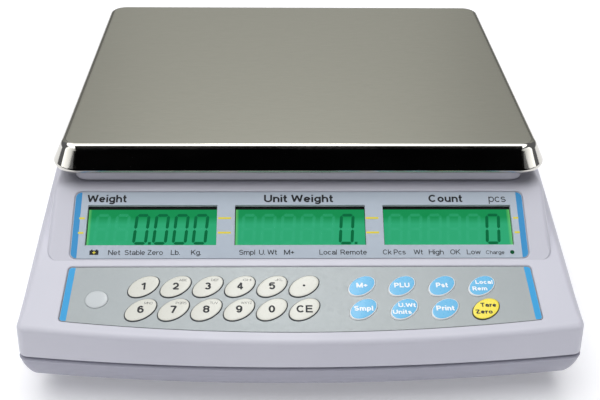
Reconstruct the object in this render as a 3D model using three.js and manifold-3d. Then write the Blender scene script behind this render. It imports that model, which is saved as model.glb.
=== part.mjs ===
// Bench counting scale: sloped case with three displays and a keypad, and a lift-off pan.
// Millimetres, +Z up, the keypad faces -Y. The origin is on the bench, under the middle of the box.
import * as THREE from 'three';
import { mergeVertices } from 'three/addons/utils/BufferGeometryUtils.js';
import Module from 'manifold-3d';

const wasm = await Module();
wasm.setup();

// ---- Driving dimensions ----
const GAP = 0.3;                 // clearance between pieces that touch
const DEG = Math.PI / 180;

const CASE = {
  halfWidth: 149.3, frontY: -171.4, rearY: 171.4,    // widest line, at the parting line
  bottomZ: 12, partingZ: 32, deckZ: 86,
  wall: 2.5, cornerRadius: 5.5, bowRadius: 1110,
  frontTuck: 10.9, rearTuck: 6, sideTuck: 2.3,       // how far the base draws in at its bottom
  frontLean: 0.074, rearLean: 0.12, sideDraw: 2.5,   // how far the cover draws in on the way up
};
const KEYPAD = { tilt: 13 * DEG, footY: -170.2, footZ: 48.2, pocketDepth: 3.2, floor: 1.8 };
const DISPLAY = { tilt: 32.5 * DEG, creaseY: -114.3, pocketDepth: 1.2, floor: 1.4 };
const BLOCK = { halfWidth: 142, cornerRadius: 9, rearY: 60 };   // raised block that holds the displays

const OVERLAY = { top: -0.5, thickness: 0.4 };       // depths are square to the slope, from its surface
const DISPLAY_OVERLAY = { halfWidth: 127.6, low: 1.5, high: 42.6, cornerRadius: 3.5 };
const KEYPAD_OVERLAY = { halfWidth: 127, low: 7.6, high: 52.8, cornerRadius: 2, bowRadius: 1020 };
const WINDOW = { low: 9.5, high: 34.3, outerFrom: 47, outerTo: 120.1, middleHalf: 36.9 };
const LCD = { margin: 2, top: -3, thickness: 9 };
const BOARD = 1.6;
const DISPLAY_BOARD = { halfWidth: 124, low: 5, high: 41 };
const KEYPAD_CIRCUIT = { fromX: -97, toX: 110, low: 14.4, high: 51, top: -2.1, thickness: 0.8 };

const DIGIT_KEY = { long: 9.7, short: 6.2, turn: 40 * DEG, top: 0.25 };
const FUNCTION_KEY = { long: 8.9, short: 5.8, turn: 42 * DEG, top: 0.35 };
const KEY_BOTTOM = -1.5;
const KEY_CROWN = { share: 0.75, drop: 0.15, wallRise: 0.1 };   // where the flat crown ends
const KEY_ROWS = [38.6, 22.5];                       // up the keypad slope from its foot
const DIGIT_COLUMNS = { first: -85, pitch: 17.3 };
const FUNCTION_COLUMNS = { first: 32.8, pitch: 21.73 };
const LEVEL = { x: -109.2, up: 29.9, lensRadius: 6.1, lensBottom: -0.9, lensEdge: -0.4, lensTop: 0.3,
  cupRadius: 7.5, cupBottom: -10, cupTop: -1.3 };

const PAN = { halfX: 137.5, halfY: 112.5, centreY: 39.5, topZ: 110, rimZ: 94.5, thickness: 1.2, bend: 5,
  cornerRadius: 12, flare: 4.2, wideZ: 97, curl: 1 };  // the skirt is widest at wideZ and curls in below it
const CARRIER = { halfX: 130, halfY: 109, bottomZ: 86.6, topZ: 104, wall: 3, cornerRadius: 8 };
const PAD = { radius: 10, x: 105, y: 80 };
const POST = { x: 95, y: 75, radius: 7, holeRadius: 10 };
const SPIDER = { bottomZ: 66, thickness: 5, armWidth: 22, hubHalfX: 34, hubHalfY: 90 };

const CHASSIS = { halfX: 60, halfY: 90, bottomZ: 17, thickness: 3, flange: 8,
  standX: 50, standY: [-40, 119], standRadius: 5 };
const CELL = { halfX: 15, halfY: 75, bottomZ: 31.3, height: 22, borePitch: 17, boreRadius: 7 };
const SPACER = { halfX: 14, length: 24 };

const BATTERY = { x: -102, y: -21, sizeX: 70, sizeY: 102, bottomZ: 15.5, height: 47 };
const TERMINAL = { y: -56, halfX: 2, halfY: 4, lowZ: 50, highZ: 58 };          // on the battery's side
const HATCH = { halfX: 38, halfY: 54, thickness: 2.2 };
const MAIN_BOARD = { x: 87, y: 95, sizeX: 50, sizeY: 130, z: 24 };
const CHIPS = [                                      // places are from the middle of the main board
  { x: 6, y: 0, halfX: 7, halfY: 7, height: 2 }, { x: -12, y: 24, halfX: 5, halfY: 8, height: 2.5 },
];
const CAPACITOR = { x: 14, y: 40, radius: 5, height: 12 };
const SUNK = 0.5;                                    // how deep joined pieces reach into each other
const SERIAL = { x: 80, z: 23, sizeX: 31, sizeZ: 12.5, backY: 160.3, flangeY: 167.5, faceY: 171.2,
  bodyX: 10, bodyZ: 5, shellWideX: 9.5, shellNarrowX: 8.5, shellZ: 4.2 };
const JACK = { x: 104, z: 23, sizeX: 9, sizeZ: 11, backY: 160.3, faceY: 169.2, boreRadius: 3.2,
  boreDepth: 8, pinRadius: 1, pinSetBack: 1 };
const SWITCH = { x: 118, y: -10, flangeX: 21, flangeY: 15, bodyX: 18.4, bodyY: 12.4, flangeZ: 10.2,
  topZ: 27, wellX: 14, wellY: 9, wellTop: 18, pivotZ: 15, restTilt: 8 * DEG };
const ROCKER = { end: 6.2, endDrop: 3.8, middleDrop: 2.8, shoulder: 5.6, topRise: 1.4 };

const FOOT = { x: 122, frontY: -116, rearY: 132, padRadius: 12, padTop: 4.8, wheelRadius: 14,
  wheelTop: 9.1, studRadius: 4, studTop: 26, holeRadius: 4.5, bossRadius: 9, bossTop: 24 };
const RIBBON = { fromX: 70, toX: 90, slotLow: 47.6, slotHigh: 50.4, thickness: 0.8, bend: 6 };
const LEAD = { loadCellRadius: 2, loadCellSteps: 16, batteryRadius: 1.6, batterySteps: 24 };

// ---- Shape helpers ----
// A geometry whose triangles already share their corners says so in userData.welded.
function solidOf(geometry) {
  const bare = geometry.clone();
  bare.deleteAttribute('normal');
  bare.deleteAttribute('uv');
  const merged = geometry.userData.welded ? bare : mergeVertices(bare, 1e-4);
  return new wasm.Manifold(new wasm.Mesh({
    numProp: 3,
    vertProperties: Float32Array.from(merged.attributes.position.array),
    triVerts: Uint32Array.from(merged.index.array),
  }));
}

function geometryOf(solid) {
  const mesh = solid.getMesh();
  const geometry = new THREE.BufferGeometry();
  geometry.setAttribute('position', new THREE.BufferAttribute(Float32Array.from(mesh.vertProperties), 3));
  geometry.setIndex(new THREE.BufferAttribute(Uint32Array.from(mesh.triVerts), 1));
  geometry.computeVertexNormals();
  geometry.userData.welded = true;
  return geometry;
}

// The first geometry, joined with the others or cut by them.
const join = (first, ...others) => (
  geometryOf(others.reduce((sum, other) => sum.add(solidOf(other)), solidOf(first))));
const cut = (first, ...tools) => (
  geometryOf(tools.reduce((rest, tool) => rest.subtract(solidOf(tool)), solidOf(first))));
const common = (first, second) => geometryOf(solidOf(first).intersect(solidOf(second)));

// A box from its lowest and highest corners.
function box(low, high) {
  const size = high.map((value, axis) => value - low[axis]);
  const middle = high.map((value, axis) => (value + low[axis]) / 2);
  return new THREE.BoxGeometry(...size).translate(...middle);
}

// An upright box about a centre line at x, y.
const block = (x, y, halfX, halfY, lowZ, highZ) => (
  box([x - halfX, y - halfY, lowZ], [x + halfX, y + halfY, highZ]));

// An upright cylinder from lowZ to highZ.
function post(radius, x, y, lowZ, highZ, sides = 20) {
  const height = highZ - lowZ;
  return new THREE.CylinderGeometry(radius, radius, height, sides)
    .rotateX(Math.PI / 2).translate(x, y, lowZ + height / 2);
}

// An upright turned piece. Its profile runs from the axis round to the axis as [radius, z], lowest first.
function turned(profile, sides = 20) {
  const points = profile.map(([radius, z]) => new THREE.Vector2(radius, z));
  return new THREE.LatheGeometry(points, sides).rotateX(Math.PI / 2);
}

// A profile of [y, z] points drawn out along X.
function alongX(profile, fromX, toX) {
  const shape = new THREE.Shape(profile.map(([y, z]) => new THREE.Vector2(y, z)));
  const turnToX = new THREE.Matrix4().makeBasis(
    new THREE.Vector3(0, 1, 0), new THREE.Vector3(0, 0, 1), new THREE.Vector3(1, 0, 0));
  return new THREE.ExtrudeGeometry(shape, { depth: toX - fromX, bevelEnabled: false })
    .applyMatrix4(turnToX).translate(fromX, 0, 0);
}

// A flat outline of [x, y] points, with holes, drawn out from lowZ to highZ.
function plate(outline, lowZ, highZ, holes = []) {
  const shape = new THREE.Shape(outline.map(([x, y]) => new THREE.Vector2(x, y)));
  shape.holes = holes;
  return new THREE.ExtrudeGeometry(shape, { depth: highZ - lowZ, bevelEnabled: false, curveSegments: 8 })
    .translate(0, 0, lowZ);
}

// A rectangle with round corners and, where bowRadius is given, a front edge bowed outwards.
// The outline runs anticlockwise from the middle of its front edge.
function roundedOutline({
  halfX, frontY, rearY, radius, bowRadius = Infinity, bowSteps = 1, cornerSteps = 4,
}) {
  const bowEnd = (halfX - radius) / (1 - radius / bowRadius);
  const bowY = (x) => frontY + (x * x) / (bowRadius + Math.sqrt(bowRadius * bowRadius - x * x));
  const startAngle = Math.asin(bowEnd / bowRadius) - Math.PI / 2;
  const frontCornerY = bowY(bowEnd) - radius * Math.sin(startAngle);
  const right = [];
  for (let step = 0; step < bowSteps; step += 1) {
    const x = (bowEnd * step) / bowSteps;
    right.push([x, bowY(x)]);
  }
  const addCorner = (centreY, from, to) => {
    for (let step = 0; step <= cornerSteps; step += 1) {
      const angle = from + ((to - from) * step) / cornerSteps;
      right.push([halfX - radius + radius * Math.cos(angle), centreY + radius * Math.sin(angle)]);
    }
  };
  addCorner(frontCornerY, startAngle, 0);
  addCorner(rearY - radius, 0, Math.PI / 2);
  const left = right.slice(1).reverse().map(([x, y]) => [-x, y]);
  return [...right, ...left];
}

// A closed skin through outlines at rising heights, each with the same number of points.
function loft(levels) {
  const count = levels[0].outline.length;
  const positions = levels.flatMap(({ z, outline }) => outline.flatMap(([x, y]) => [x, y, z]));
  const last = (levels.length - 1) * count;
  const triangles = [];
  for (let start = 0; start < last; start += count) {
    for (let index = 0; index < count; index += 1) {
      const here = start + index;
      const next = start + ((index + 1) % count);
      triangles.push(here, next, next + count, here, next + count, here + count);
    }
  }
  for (let index = 1; index < count - 1; index += 1) {
    triangles.push(0, index + 1, index);
    triangles.push(last, last + index, last + index + 1);
  }
  const geometry = new THREE.BufferGeometry();
  geometry.setAttribute('position', new THREE.Float32BufferAttribute(positions, 3));
  geometry.setIndex(triangles);
  geometry.userData.welded = true;
  return geometry;
}

// ---- The two slopes: x across, y up the slope, z square to it, 0 at its surface ----
const creaseZ = KEYPAD.footZ + (DISPLAY.creaseY - KEYPAD.footY) * Math.tan(KEYPAD.tilt);

function slopeGroup(tilt, y, z) {
  const group = new THREE.Group();
  group.position.set(0, y, z);
  group.rotation.x = tilt;
  group.updateMatrix();
  return group;
}

const keypadSlope = slopeGroup(KEYPAD.tilt, KEYPAD.footY, KEYPAD.footZ);
const displaySlope = slopeGroup(DISPLAY.tilt, DISPLAY.creaseY, creaseZ);
const onKeypadSlope = (geometry) => geometry.applyMatrix4(keypadSlope.matrix);
const onDisplaySlope = (geometry) => geometry.applyMatrix4(displaySlope.matrix);

const displayPocket = (grow) => roundedOutline({
  halfX: DISPLAY_OVERLAY.halfWidth + grow, frontY: DISPLAY_OVERLAY.low - grow,
  rearY: DISPLAY_OVERLAY.high + grow, radius: DISPLAY_OVERLAY.cornerRadius + grow,
});
const keypadPocket = (grow) => roundedOutline({
  halfX: KEYPAD_OVERLAY.halfWidth + grow, frontY: KEYPAD_OVERLAY.low - grow,
  rearY: KEYPAD_OVERLAY.high + grow, radius: KEYPAD_OVERLAY.cornerRadius + grow,
  bowRadius: KEYPAD_OVERLAY.bowRadius, bowSteps: 6, cornerSteps: 2,
});
const windows = [
  { name: 'lcd_weight', from: -WINDOW.outerTo, to: -WINDOW.outerFrom },
  { name: 'lcd_unit_weight', from: -WINDOW.middleHalf, to: WINDOW.middleHalf },
  { name: 'lcd_count', from: WINDOW.outerFrom, to: WINDOW.outerTo },
];

// ---- Case ----
const tuckPower = 1.6;           // the base curves in faster towards its bottom
const posts = [[-POST.x, -POST.y], [POST.x, -POST.y], [-POST.x, POST.y], [POST.x, POST.y]]
  .map(([x, y]) => [x, PAN.centreY + y]);
const feet = [
  { name: 'front_left', x: -FOOT.x, y: FOOT.frontY }, { name: 'front_right', x: FOOT.x, y: FOOT.frontY },
  { name: 'rear_left', x: -FOOT.x, y: FOOT.rearY }, { name: 'rear_right', x: FOOT.x, y: FOOT.rearY },
];

function caseLevel(z, inset = 0) {
  const tuck = Math.max(0, (CASE.partingZ - z) / (CASE.partingZ - CASE.bottomZ)) ** tuckPower;
  const rise = Math.max(0, z - CASE.partingZ);
  const draw = CASE.sideDraw * (rise / (CASE.deckZ - CASE.partingZ)) ** 2;
  return {
    z,
    outline: roundedOutline({
      halfX: CASE.halfWidth - CASE.sideTuck * tuck - draw - inset,
      frontY: CASE.frontY + CASE.frontTuck * tuck + CASE.frontLean * rise + inset,
      rearY: CASE.rearY - CASE.rearTuck * tuck - CASE.rearLean * rise - inset,
      radius: CASE.cornerRadius - inset, bowRadius: CASE.bowRadius, bowSteps: 5,
    }),
  };
}

// The shape of the cover's outside, or of the hollow in it, set in by the wall and pocket depths.
function coverForm(lowZ, wall, keypadDepth, displayDepth) {
  const top = CASE.deckZ - wall;
  const walls = loft([lowZ, 46, 60, 73, top].map((z) => caseLevel(z, wall)));
  const far = 250;
  const slopeZ = (y) => KEYPAD.footZ - keypadDepth / Math.cos(KEYPAD.tilt)
    + (y - KEYPAD.footY) * Math.tan(KEYPAD.tilt);
  const slopeTopY = KEYPAD.footY + (top - slopeZ(KEYPAD.footY)) / Math.tan(KEYPAD.tilt);
  const wedge = common(walls, alongX(
    [[-far, 0], [far, 0], [far, top + 1], [slopeTopY + 1 / Math.tan(KEYPAD.tilt), top + 1],
      [-far, slopeZ(-far)]], -far, far));
  const raised = onDisplaySlope(plate(roundedOutline({
    halfX: BLOCK.halfWidth - wall, frontY: wall / 2, rearY: far, radius: BLOCK.cornerRadius - wall,
  }), -40, -displayDepth));
  const deck = box([-far, -far, lowZ], [far, BLOCK.rearY, top]);
  return join(wedge, common(raised, deck));
}

function makeTopCover() {
  const outside = coverForm(CASE.partingZ + GAP / 2, 0, 0, 0);
  const hollow = coverForm(CASE.partingZ - 1, CASE.wall, KEYPAD.pocketDepth + KEYPAD.floor,
    DISPLAY.pocketDepth + DISPLAY.floor);
  const windowHoles = windows.map(({ from, to }) => onDisplaySlope(
    box([from, WINDOW.low, -9], [to, WINDOW.high, 1])));
  const postHoles = posts.map(([x, y]) => post(POST.holeRadius, x, y, CASE.deckZ - 10, CASE.deckZ + 5));
  return cut(
    outside, hollow,
    onDisplaySlope(plate(displayPocket(GAP), -DISPLAY.pocketDepth, 20)), ...windowHoles,
    onKeypadSlope(plate(keypadPocket(GAP), -KEYPAD.pocketDepth, 10)),
    onKeypadSlope(post(LEVEL.cupRadius + GAP, LEVEL.x, LEVEL.up, -12, 1)),
    onKeypadSlope(box([RIBBON.fromX - 1, RIBBON.slotLow, -9], [RIBBON.toX + 1, RIBBON.slotHigh, 1])),
    ...postHoles,
  );
}

function makeBaseShell() {
  const outside = loft([CASE.bottomZ, 15, 19, 25, CASE.partingZ - GAP / 2].map((z) => caseLevel(z)));
  const floorZ = CASE.bottomZ + CASE.wall;
  const hollow = loft([floorZ, 19, 25, CASE.partingZ + 1].map((z) => caseLevel(z, CASE.wall)));
  const bosses = feet.map(({ x, y }) => post(FOOT.bossRadius, x, y, floorZ - 1, FOOT.bossTop));
  const stands = CHASSIS.standY.flatMap((y) => [-CHASSIS.standX, CHASSIS.standX].map((x) => (
    post(CHASSIS.standRadius, x, y, floorZ - 1, CHASSIS.bottomZ - GAP, 12))));
  const shell = join(cut(outside, hollow), ...bosses, ...stands);
  const studHoles = feet.map(({ x, y }) => post(FOOT.holeRadius, x, y, 0, FOOT.bossTop + 1, 16));
  return cut(
    shell, ...studHoles,
    block(BATTERY.x, BATTERY.y, HATCH.halfX, HATCH.halfY, 0, floorZ + 1),
    block(SWITCH.x, SWITCH.y, SWITCH.bodyX / 2 + GAP, SWITCH.bodyY / 2 + GAP, 0, floorZ + 1),
    portOpening(SERIAL), portOpening(JACK),
  );
}

// The hole in the back wall for a socket.
function portOpening({ x, z, sizeX, sizeZ }) {
  return box([x - sizeX / 2 - GAP, CASE.rearY - 12, z - sizeZ / 2 - GAP],
    [x + sizeX / 2 + GAP, CASE.rearY + 5, z + sizeZ / 2 + GAP]);
}

function makeBatteryDoor() {
  return block(BATTERY.x, BATTERY.y, HATCH.halfX - GAP, HATCH.halfY - GAP,
    CASE.bottomZ, CASE.bottomZ + HATCH.thickness);
}

// ---- Keys, overlays and displays ----
const keyboard = [
  ...['1', '2', '3', '4', '5', 'point'].map((name, column) => digitKey(name, column, 0)),
  ...['6', '7', '8', '9', '0', 'clear'].map((name, column) => digitKey(name, column, 1)),
  ...['total', 'recall', 'preset', 'source'].map((name, column) => functionKey(name, column, 0)),
  ...['sample', 'unit_weight', 'print', 'tare_zero'].map((name, column) => functionKey(name, column, 1)),
];

function digitKey(name, column, row) {
  const x = DIGIT_COLUMNS.first + column * DIGIT_COLUMNS.pitch;
  return { name: `key_${name}`, x, up: KEY_ROWS[row], form: DIGIT_KEY, finish: 'creamKey' };
}

function functionKey(name, column, row) {
  const x = FUNCTION_COLUMNS.first + column * FUNCTION_COLUMNS.pitch;
  const finish = name === 'tare_zero' ? 'yellowKey' : 'blueKey';
  return { name: `key_${name}`, x, up: KEY_ROWS[row], form: FUNCTION_KEY, finish };
}

function makeKey({ long, short, turn, top }) {
  const { share, drop, wallRise } = KEY_CROWN;
  const wallTop = OVERLAY.top + wallRise;
  return turned([[0, KEY_BOTTOM], [1, KEY_BOTTOM], [1, wallTop], [share, top - drop], [0, top]], 16)
    .scale(long, short, 1).rotateZ(turn);
}

function keyHole({ x, up, form }) {
  const hole = new THREE.Path();
  hole.absellipse(x, up, form.long + GAP, form.short + GAP, 0, 2 * Math.PI, true, form.turn);
  return hole;
}

function makeKeypadOverlay() {
  const lensHole = new THREE.Path();
  lensHole.absarc(LEVEL.x, LEVEL.up, LEVEL.lensRadius + GAP, 0, 2 * Math.PI, true);
  return plate(keypadPocket(0), OVERLAY.top - OVERLAY.thickness, OVERLAY.top,
    [...keyboard.map(keyHole), lensHole]);
}

function makeDisplayOverlay() {
  const lowZ = OVERLAY.top - OVERLAY.thickness;
  return cut(plate(displayPocket(0), lowZ, OVERLAY.top), ...windows.map(({ from, to }) => (
    box([from, WINDOW.low, lowZ - 1], [to, WINDOW.high, OVERLAY.top + 1]))));
}

function makeLcd({ from, to }) {
  return box([from - LCD.margin, WINDOW.low - LCD.margin, LCD.top - LCD.thickness],
    [to + LCD.margin, WINDOW.high + LCD.margin, LCD.top]);
}

function makeDisplayBoard() {
  const top = LCD.top - LCD.thickness - GAP;
  const { halfWidth, low, high } = DISPLAY_BOARD;
  return box([-halfWidth, low, top - BOARD], [halfWidth, high, top]);
}

function makeKeypadCircuit() {
  const { fromX, toX, low, high, top, thickness } = KEYPAD_CIRCUIT;
  return box([fromX, low, top - thickness], [toX, high, top]);
}

function makeLevelLens() {
  const { lensRadius, lensBottom, lensEdge, lensTop } = LEVEL;
  return turned([[0, lensBottom], [lensRadius, lensBottom], [lensRadius, lensEdge],
    [lensRadius * 0.6, lensTop - 0.2], [0, lensTop]], 16);
}

const makeLevelCup = () => turned([[0, LEVEL.cupBottom], [LEVEL.cupRadius, LEVEL.cupBottom],
  [LEVEL.cupRadius, LEVEL.cupTop], [0, LEVEL.cupTop]], 16);

// ---- Pan, its carrier and the weighing frame ----
function panLevel(z, grow) {
  return {
    z,
    outline: roundedOutline({
      halfX: PAN.halfX + grow, frontY: PAN.centreY - PAN.halfY - grow,
      rearY: PAN.centreY + PAN.halfY + grow, radius: PAN.cornerRadius + grow, cornerSteps: 5,
    }),
  };
}

// The pan's skin: a rim that curls in, a skirt that flares down to it, and a round bend up to the flat top.
function panForm(lowZ, inset) {
  const bendZ = PAN.topZ - PAN.bend;
  const skirt = [panLevel(lowZ, PAN.flare - PAN.curl - inset), panLevel(PAN.wideZ, PAN.flare - inset)];
  const bend = [0, 1, 2, 3].map((step) => {
    const angle = (step / 3) * (Math.PI / 2);
    return panLevel(bendZ + (PAN.bend - inset) * Math.sin(angle),
      (PAN.bend - inset) * Math.cos(angle) - PAN.bend);
  });
  return loft([...skirt, ...bend]);
}

const makePan = () => cut(panForm(PAN.rimZ, 0), panForm(PAN.rimZ - 1, PAN.thickness));

function carrierForm(lowZ, topZ, inset) {
  const level = (z, grow) => ({
    z,
    outline: roundedOutline({
      halfX: CARRIER.halfX + grow, frontY: PAN.centreY - CARRIER.halfY - grow,
      rearY: PAN.centreY + CARRIER.halfY + grow, radius: CARRIER.cornerRadius + grow, cornerSteps: 3,
    }),
  });
  return loft([level(lowZ, -inset), level(topZ - 2, -inset), level(topZ, -inset - 2)]);
}

const makeCarrier = () => cut(
  carrierForm(CARRIER.bottomZ, CARRIER.topZ, 0),
  carrierForm(CARRIER.bottomZ - 1, CARRIER.topZ - CARRIER.wall, CARRIER.wall));

const makePanPad = () => post(PAD.radius, 0, 0, CARRIER.topZ + GAP, PAN.topZ - PAN.thickness - GAP, 16);

function makeSpider() {
  const topZ = SPIDER.bottomZ + SPIDER.thickness;
  const reach = Math.hypot(POST.x, POST.y);
  const arm = (side) => block(0, 0, reach, SPIDER.armWidth / 2, SPIDER.bottomZ, topZ)
    .rotateZ(side * Math.atan2(POST.y, POST.x)).translate(0, PAN.centreY, 0);
  const hub = block(0, PAN.centreY, SPIDER.hubHalfX, SPIDER.hubHalfY, SPIDER.bottomZ, topZ);
  const legTop = CARRIER.topZ - CARRIER.wall - GAP;
  const legs = posts.map(([x, y]) => post(POST.radius, x, y, SPIDER.bottomZ, legTop));
  return join(arm(1), arm(-1), hub, ...legs);
}

function makeLoadCell() {
  const middleZ = CELL.bottomZ + CELL.height / 2;
  const bore = (y) => new THREE.CylinderGeometry(CELL.boreRadius, CELL.boreRadius, 60, 16)
    .rotateZ(Math.PI / 2).translate(0, y, middleZ);
  const bar = block(0, 0, CELL.halfX, CELL.halfY, CELL.bottomZ, CELL.bottomZ + CELL.height);
  const slot = block(0, 0, 30, CELL.borePitch / 2, middleZ - 2, middleZ + 2);
  return cut(bar, bore(-CELL.borePitch / 2), bore(CELL.borePitch / 2), slot).translate(0, PAN.centreY, 0);
}

function makeSpacer(side, lowZ, highZ) {
  const y = PAN.centreY + side * (CELL.halfY - SPACER.length / 2);
  return block(0, y, SPACER.halfX, SPACER.length / 2, lowZ + GAP, highZ - GAP);
}

function makeChassis() {
  const { halfX, halfY, bottomZ, thickness, flange } = CHASSIS;
  const floor = bottomZ + thickness;
  return alongX([
    [-halfY, bottomZ], [halfY, bottomZ], [halfY, floor + flange], [halfY - thickness, floor + flange],
    [halfY - thickness, floor], [thickness - halfY, floor], [thickness - halfY, floor + flange],
    [-halfY, floor + flange],
  ], -halfX, halfX).translate(0, PAN.centreY, 0);
}

// ---- Electrics ----
const makeBattery = () => join(
  block(BATTERY.x, BATTERY.y, BATTERY.sizeX / 2, BATTERY.sizeY / 2, BATTERY.bottomZ,
    BATTERY.bottomZ + BATTERY.height),
  block(BATTERY.x + BATTERY.sizeX / 2, TERMINAL.y, TERMINAL.halfX, TERMINAL.halfY,
    TERMINAL.lowZ, TERMINAL.highZ));

function makeMainBoard() {
  const { x: middleX, y: middleY, sizeX, sizeY, z } = MAIN_BOARD;
  const top = z + BOARD;
  const chips = CHIPS.map(({ x, y, halfX, halfY, height }) => (
    block(middleX + x, middleY + y, halfX, halfY, top - SUNK, top + height)));
  const capacitor = post(CAPACITOR.radius, middleX + CAPACITOR.x, middleY + CAPACITOR.y,
    top - SUNK, top + CAPACITOR.height, 12);
  return join(block(middleX, middleY, sizeX / 2, sizeY / 2, z, top), ...chips, capacitor);
}

// A 9-way socket: body, flange and the shell that the plug slides over.
function makeSerialPort() {
  const { x, z, sizeX, sizeZ, backY, flangeY, faceY, bodyX, bodyZ } = SERIAL;
  const { shellWideX: wide, shellNarrowX: narrow, shellZ } = SERIAL;
  const shell = plate([[-narrow, -shellZ], [narrow, -shellZ], [wide, shellZ], [-wide, shellZ]],
    0, faceY - flangeY + 1).rotateX(Math.PI / 2).translate(x, faceY, z);
  return join(
    box([x - sizeX / 2, flangeY - 1, z - sizeZ / 2], [x + sizeX / 2, flangeY, z + sizeZ / 2]),
    box([x - bodyX, backY, z - bodyZ], [x + bodyX, flangeY - SUNK, z + bodyZ]),
    shell);
}

function makeDcJack() {
  const { x, z, sizeX, sizeZ, backY, faceY, boreRadius, boreDepth, pinRadius, pinSetBack } = JACK;
  const bore = new THREE.CylinderGeometry(boreRadius, boreRadius, 2 * boreDepth, 16).translate(x, faceY, z);
  const pin = new THREE.CylinderGeometry(pinRadius, pinRadius, boreDepth, 8)
    .translate(x, faceY - pinSetBack - boreDepth / 2, z);
  return join(
    cut(box([x - sizeX / 2, backY, z - sizeZ / 2], [x + sizeX / 2, faceY, z + sizeZ / 2]), bore), pin);
}

function makeSwitchBody() {
  const { x, y, flangeX, flangeY, bodyX, bodyY, flangeZ, topZ, wellX, wellY, wellTop } = SWITCH;
  return cut(
    join(
      block(x, y, flangeX / 2, flangeY / 2, flangeZ, CASE.bottomZ - GAP),
      block(x, y, bodyX / 2, bodyY / 2, flangeZ, topZ)),
    block(x, y, wellX / 2, wellY / 2, 0, wellTop));
}

// Drawn about its pivot, which runs along Y, and tipped to its off position.
function makeRocker() {
  const { end, endDrop, middleDrop, shoulder, topRise } = ROCKER;
  const shape = new THREE.Shape([
    [-end, -endDrop], [0, -middleDrop], [end, -endDrop], [shoulder, 0], [0, topRise], [-shoulder, 0],
  ].map(([x, z]) => new THREE.Vector2(x, z)));
  const width = SWITCH.wellY - 2 * GAP;
  return new THREE.ExtrudeGeometry(shape, { depth: width, bevelEnabled: false })
    .rotateX(Math.PI / 2).translate(0, width / 2, 0).rotateY(SWITCH.restTilt);
}

// A round lead through the given points.
function lead(points, radius, steps) {
  const route = new THREE.CatmullRomCurve3(points.map((point) => new THREE.Vector3(...point)));
  const section = new THREE.Shape();
  section.absarc(0, 0, radius, 0, 2 * Math.PI);
  return new THREE.ExtrudeGeometry(section, { steps, extrudePath: route, curveSegments: 4 });
}

const boardTop = MAIN_BOARD.z + BOARD + 2 * GAP;
const loadCellRoute = [
  [15.5, -22, 44], [20, -22, 44], [32, -20, 45], [55, 0, 44], [76, 34, 40], [80, 49, 35],
  [80, 50, 30], [80, 50, boardTop],
];
const batteryRoute = [
  [-64.4, -56, 54], [-60, -56, 54], [-50, -62, 51], [-20, -76, 40], [30, -72, 34],
  [58, -40, 33], [66, 10, 34], [67, 46, 34], [67, 50, 30], [67, 50, boardTop],
];

// The keypad's flat lead: out through the slot in the pocket floor, down, and back to the main board.
function makeKeypadRibbon() {
  const board = MAIN_BOARD.y - MAIN_BOARD.sizeY / 2 - GAP;
  const slotMiddle = (RIBBON.slotLow + RIBBON.slotHigh) / 2;
  const depth = KEYPAD.pocketDepth;
  const y = KEYPAD.footY + slotMiddle * Math.cos(KEYPAD.tilt) + depth * Math.sin(KEYPAD.tilt);
  const z = KEYPAD.footZ + slotMiddle * Math.sin(KEYPAD.tilt) - depth * Math.cos(KEYPAD.tilt);
  const under = MAIN_BOARD.z + BOARD / 2;
  const { fromX, toX, bend } = RIBBON;
  const half = RIBBON.thickness / 2;
  return alongX([
    [y - half, z], [y - half, under + bend], [y + bend, under - half], [board, under - half],
    [board, under + half], [y + bend + half, under + half], [y + half, under + bend + half], [y + half, z],
  ], fromX, toX);
}

// ---- Feet ----
const makeFootPad = () => turned([[0, 0], [FOOT.padRadius - 1, 0], [FOOT.padRadius, 1.2],
  [FOOT.padRadius, FOOT.padTop], [0, FOOT.padTop]]);
const makeFootWheel = () => turned([[0, FOOT.padTop + GAP], [FOOT.wheelRadius, FOOT.padTop + GAP],
  [FOOT.wheelRadius, FOOT.wheelTop], [FOOT.studRadius, FOOT.wheelTop], [FOOT.studRadius, FOOT.studTop],
  [0, FOOT.studTop]]);

// ---- Finishes ----
const finish = (color, roughness, metalness = 0) => (
  new THREE.MeshStandardMaterial({ color, roughness, metalness }));
const finishes = {
  casePlastic: finish(0xd6d6e2, 0.45),
  basePlastic: finish(0xb4b4cc, 0.5),
  displayPrint: finish(0xb2b8c6, 0.5),
  keypadPrint: finish(0xb9c1c0, 0.5),
  creamKey: finish(0xeeeee6, 0.45),
  blueKey: finish(0x4fb4de, 0.4),
  yellowKey: finish(0xf0e050, 0.4),
  lcdGlass: finish(0x32af78, 0.3),
  clearPlastic: finish(0xe4e8e8, 0.2),
  panSteel: finish(0x969690, 0.3, 1),
  castAluminium: finish(0xa0a2a4, 0.5, 1),
  platedSteel: finish(0x9a9c9e, 0.4, 1),
  rubber: finish(0x202020, 0.9),
  blackPlastic: finish(0x1c1c1e, 0.5),
  circuitBoard: finish(0x1f5a34, 0.5),
  cableSheath: finish(0x2a2a2c, 0.6),
};

// ---- Assembly ----
const scale = new THREE.Group();
scale.add(keypadSlope, displaySlope);

// Adds a named piece to a group, at a place in it, and closes its mesh.
function add(name, geometry, look, place = [0, 0, 0], group = scale) {
  const mesh = new THREE.Mesh(geometryOf(solidOf(geometry)), finishes[look]);
  mesh.name = name;
  mesh.position.set(...place);
  group.add(mesh);
}

add('base_shell', makeBaseShell(), 'basePlastic');
add('top_cover', makeTopCover(), 'casePlastic');
add('battery_door', makeBatteryDoor(), 'basePlastic');

add('display_overlay', makeDisplayOverlay(), 'displayPrint', [0, 0, 0], displaySlope);
windows.forEach((window) => add(window.name, makeLcd(window), 'lcdGlass', [0, 0, 0], displaySlope));
add('display_board', makeDisplayBoard(), 'circuitBoard', [0, 0, 0], displaySlope);

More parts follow.
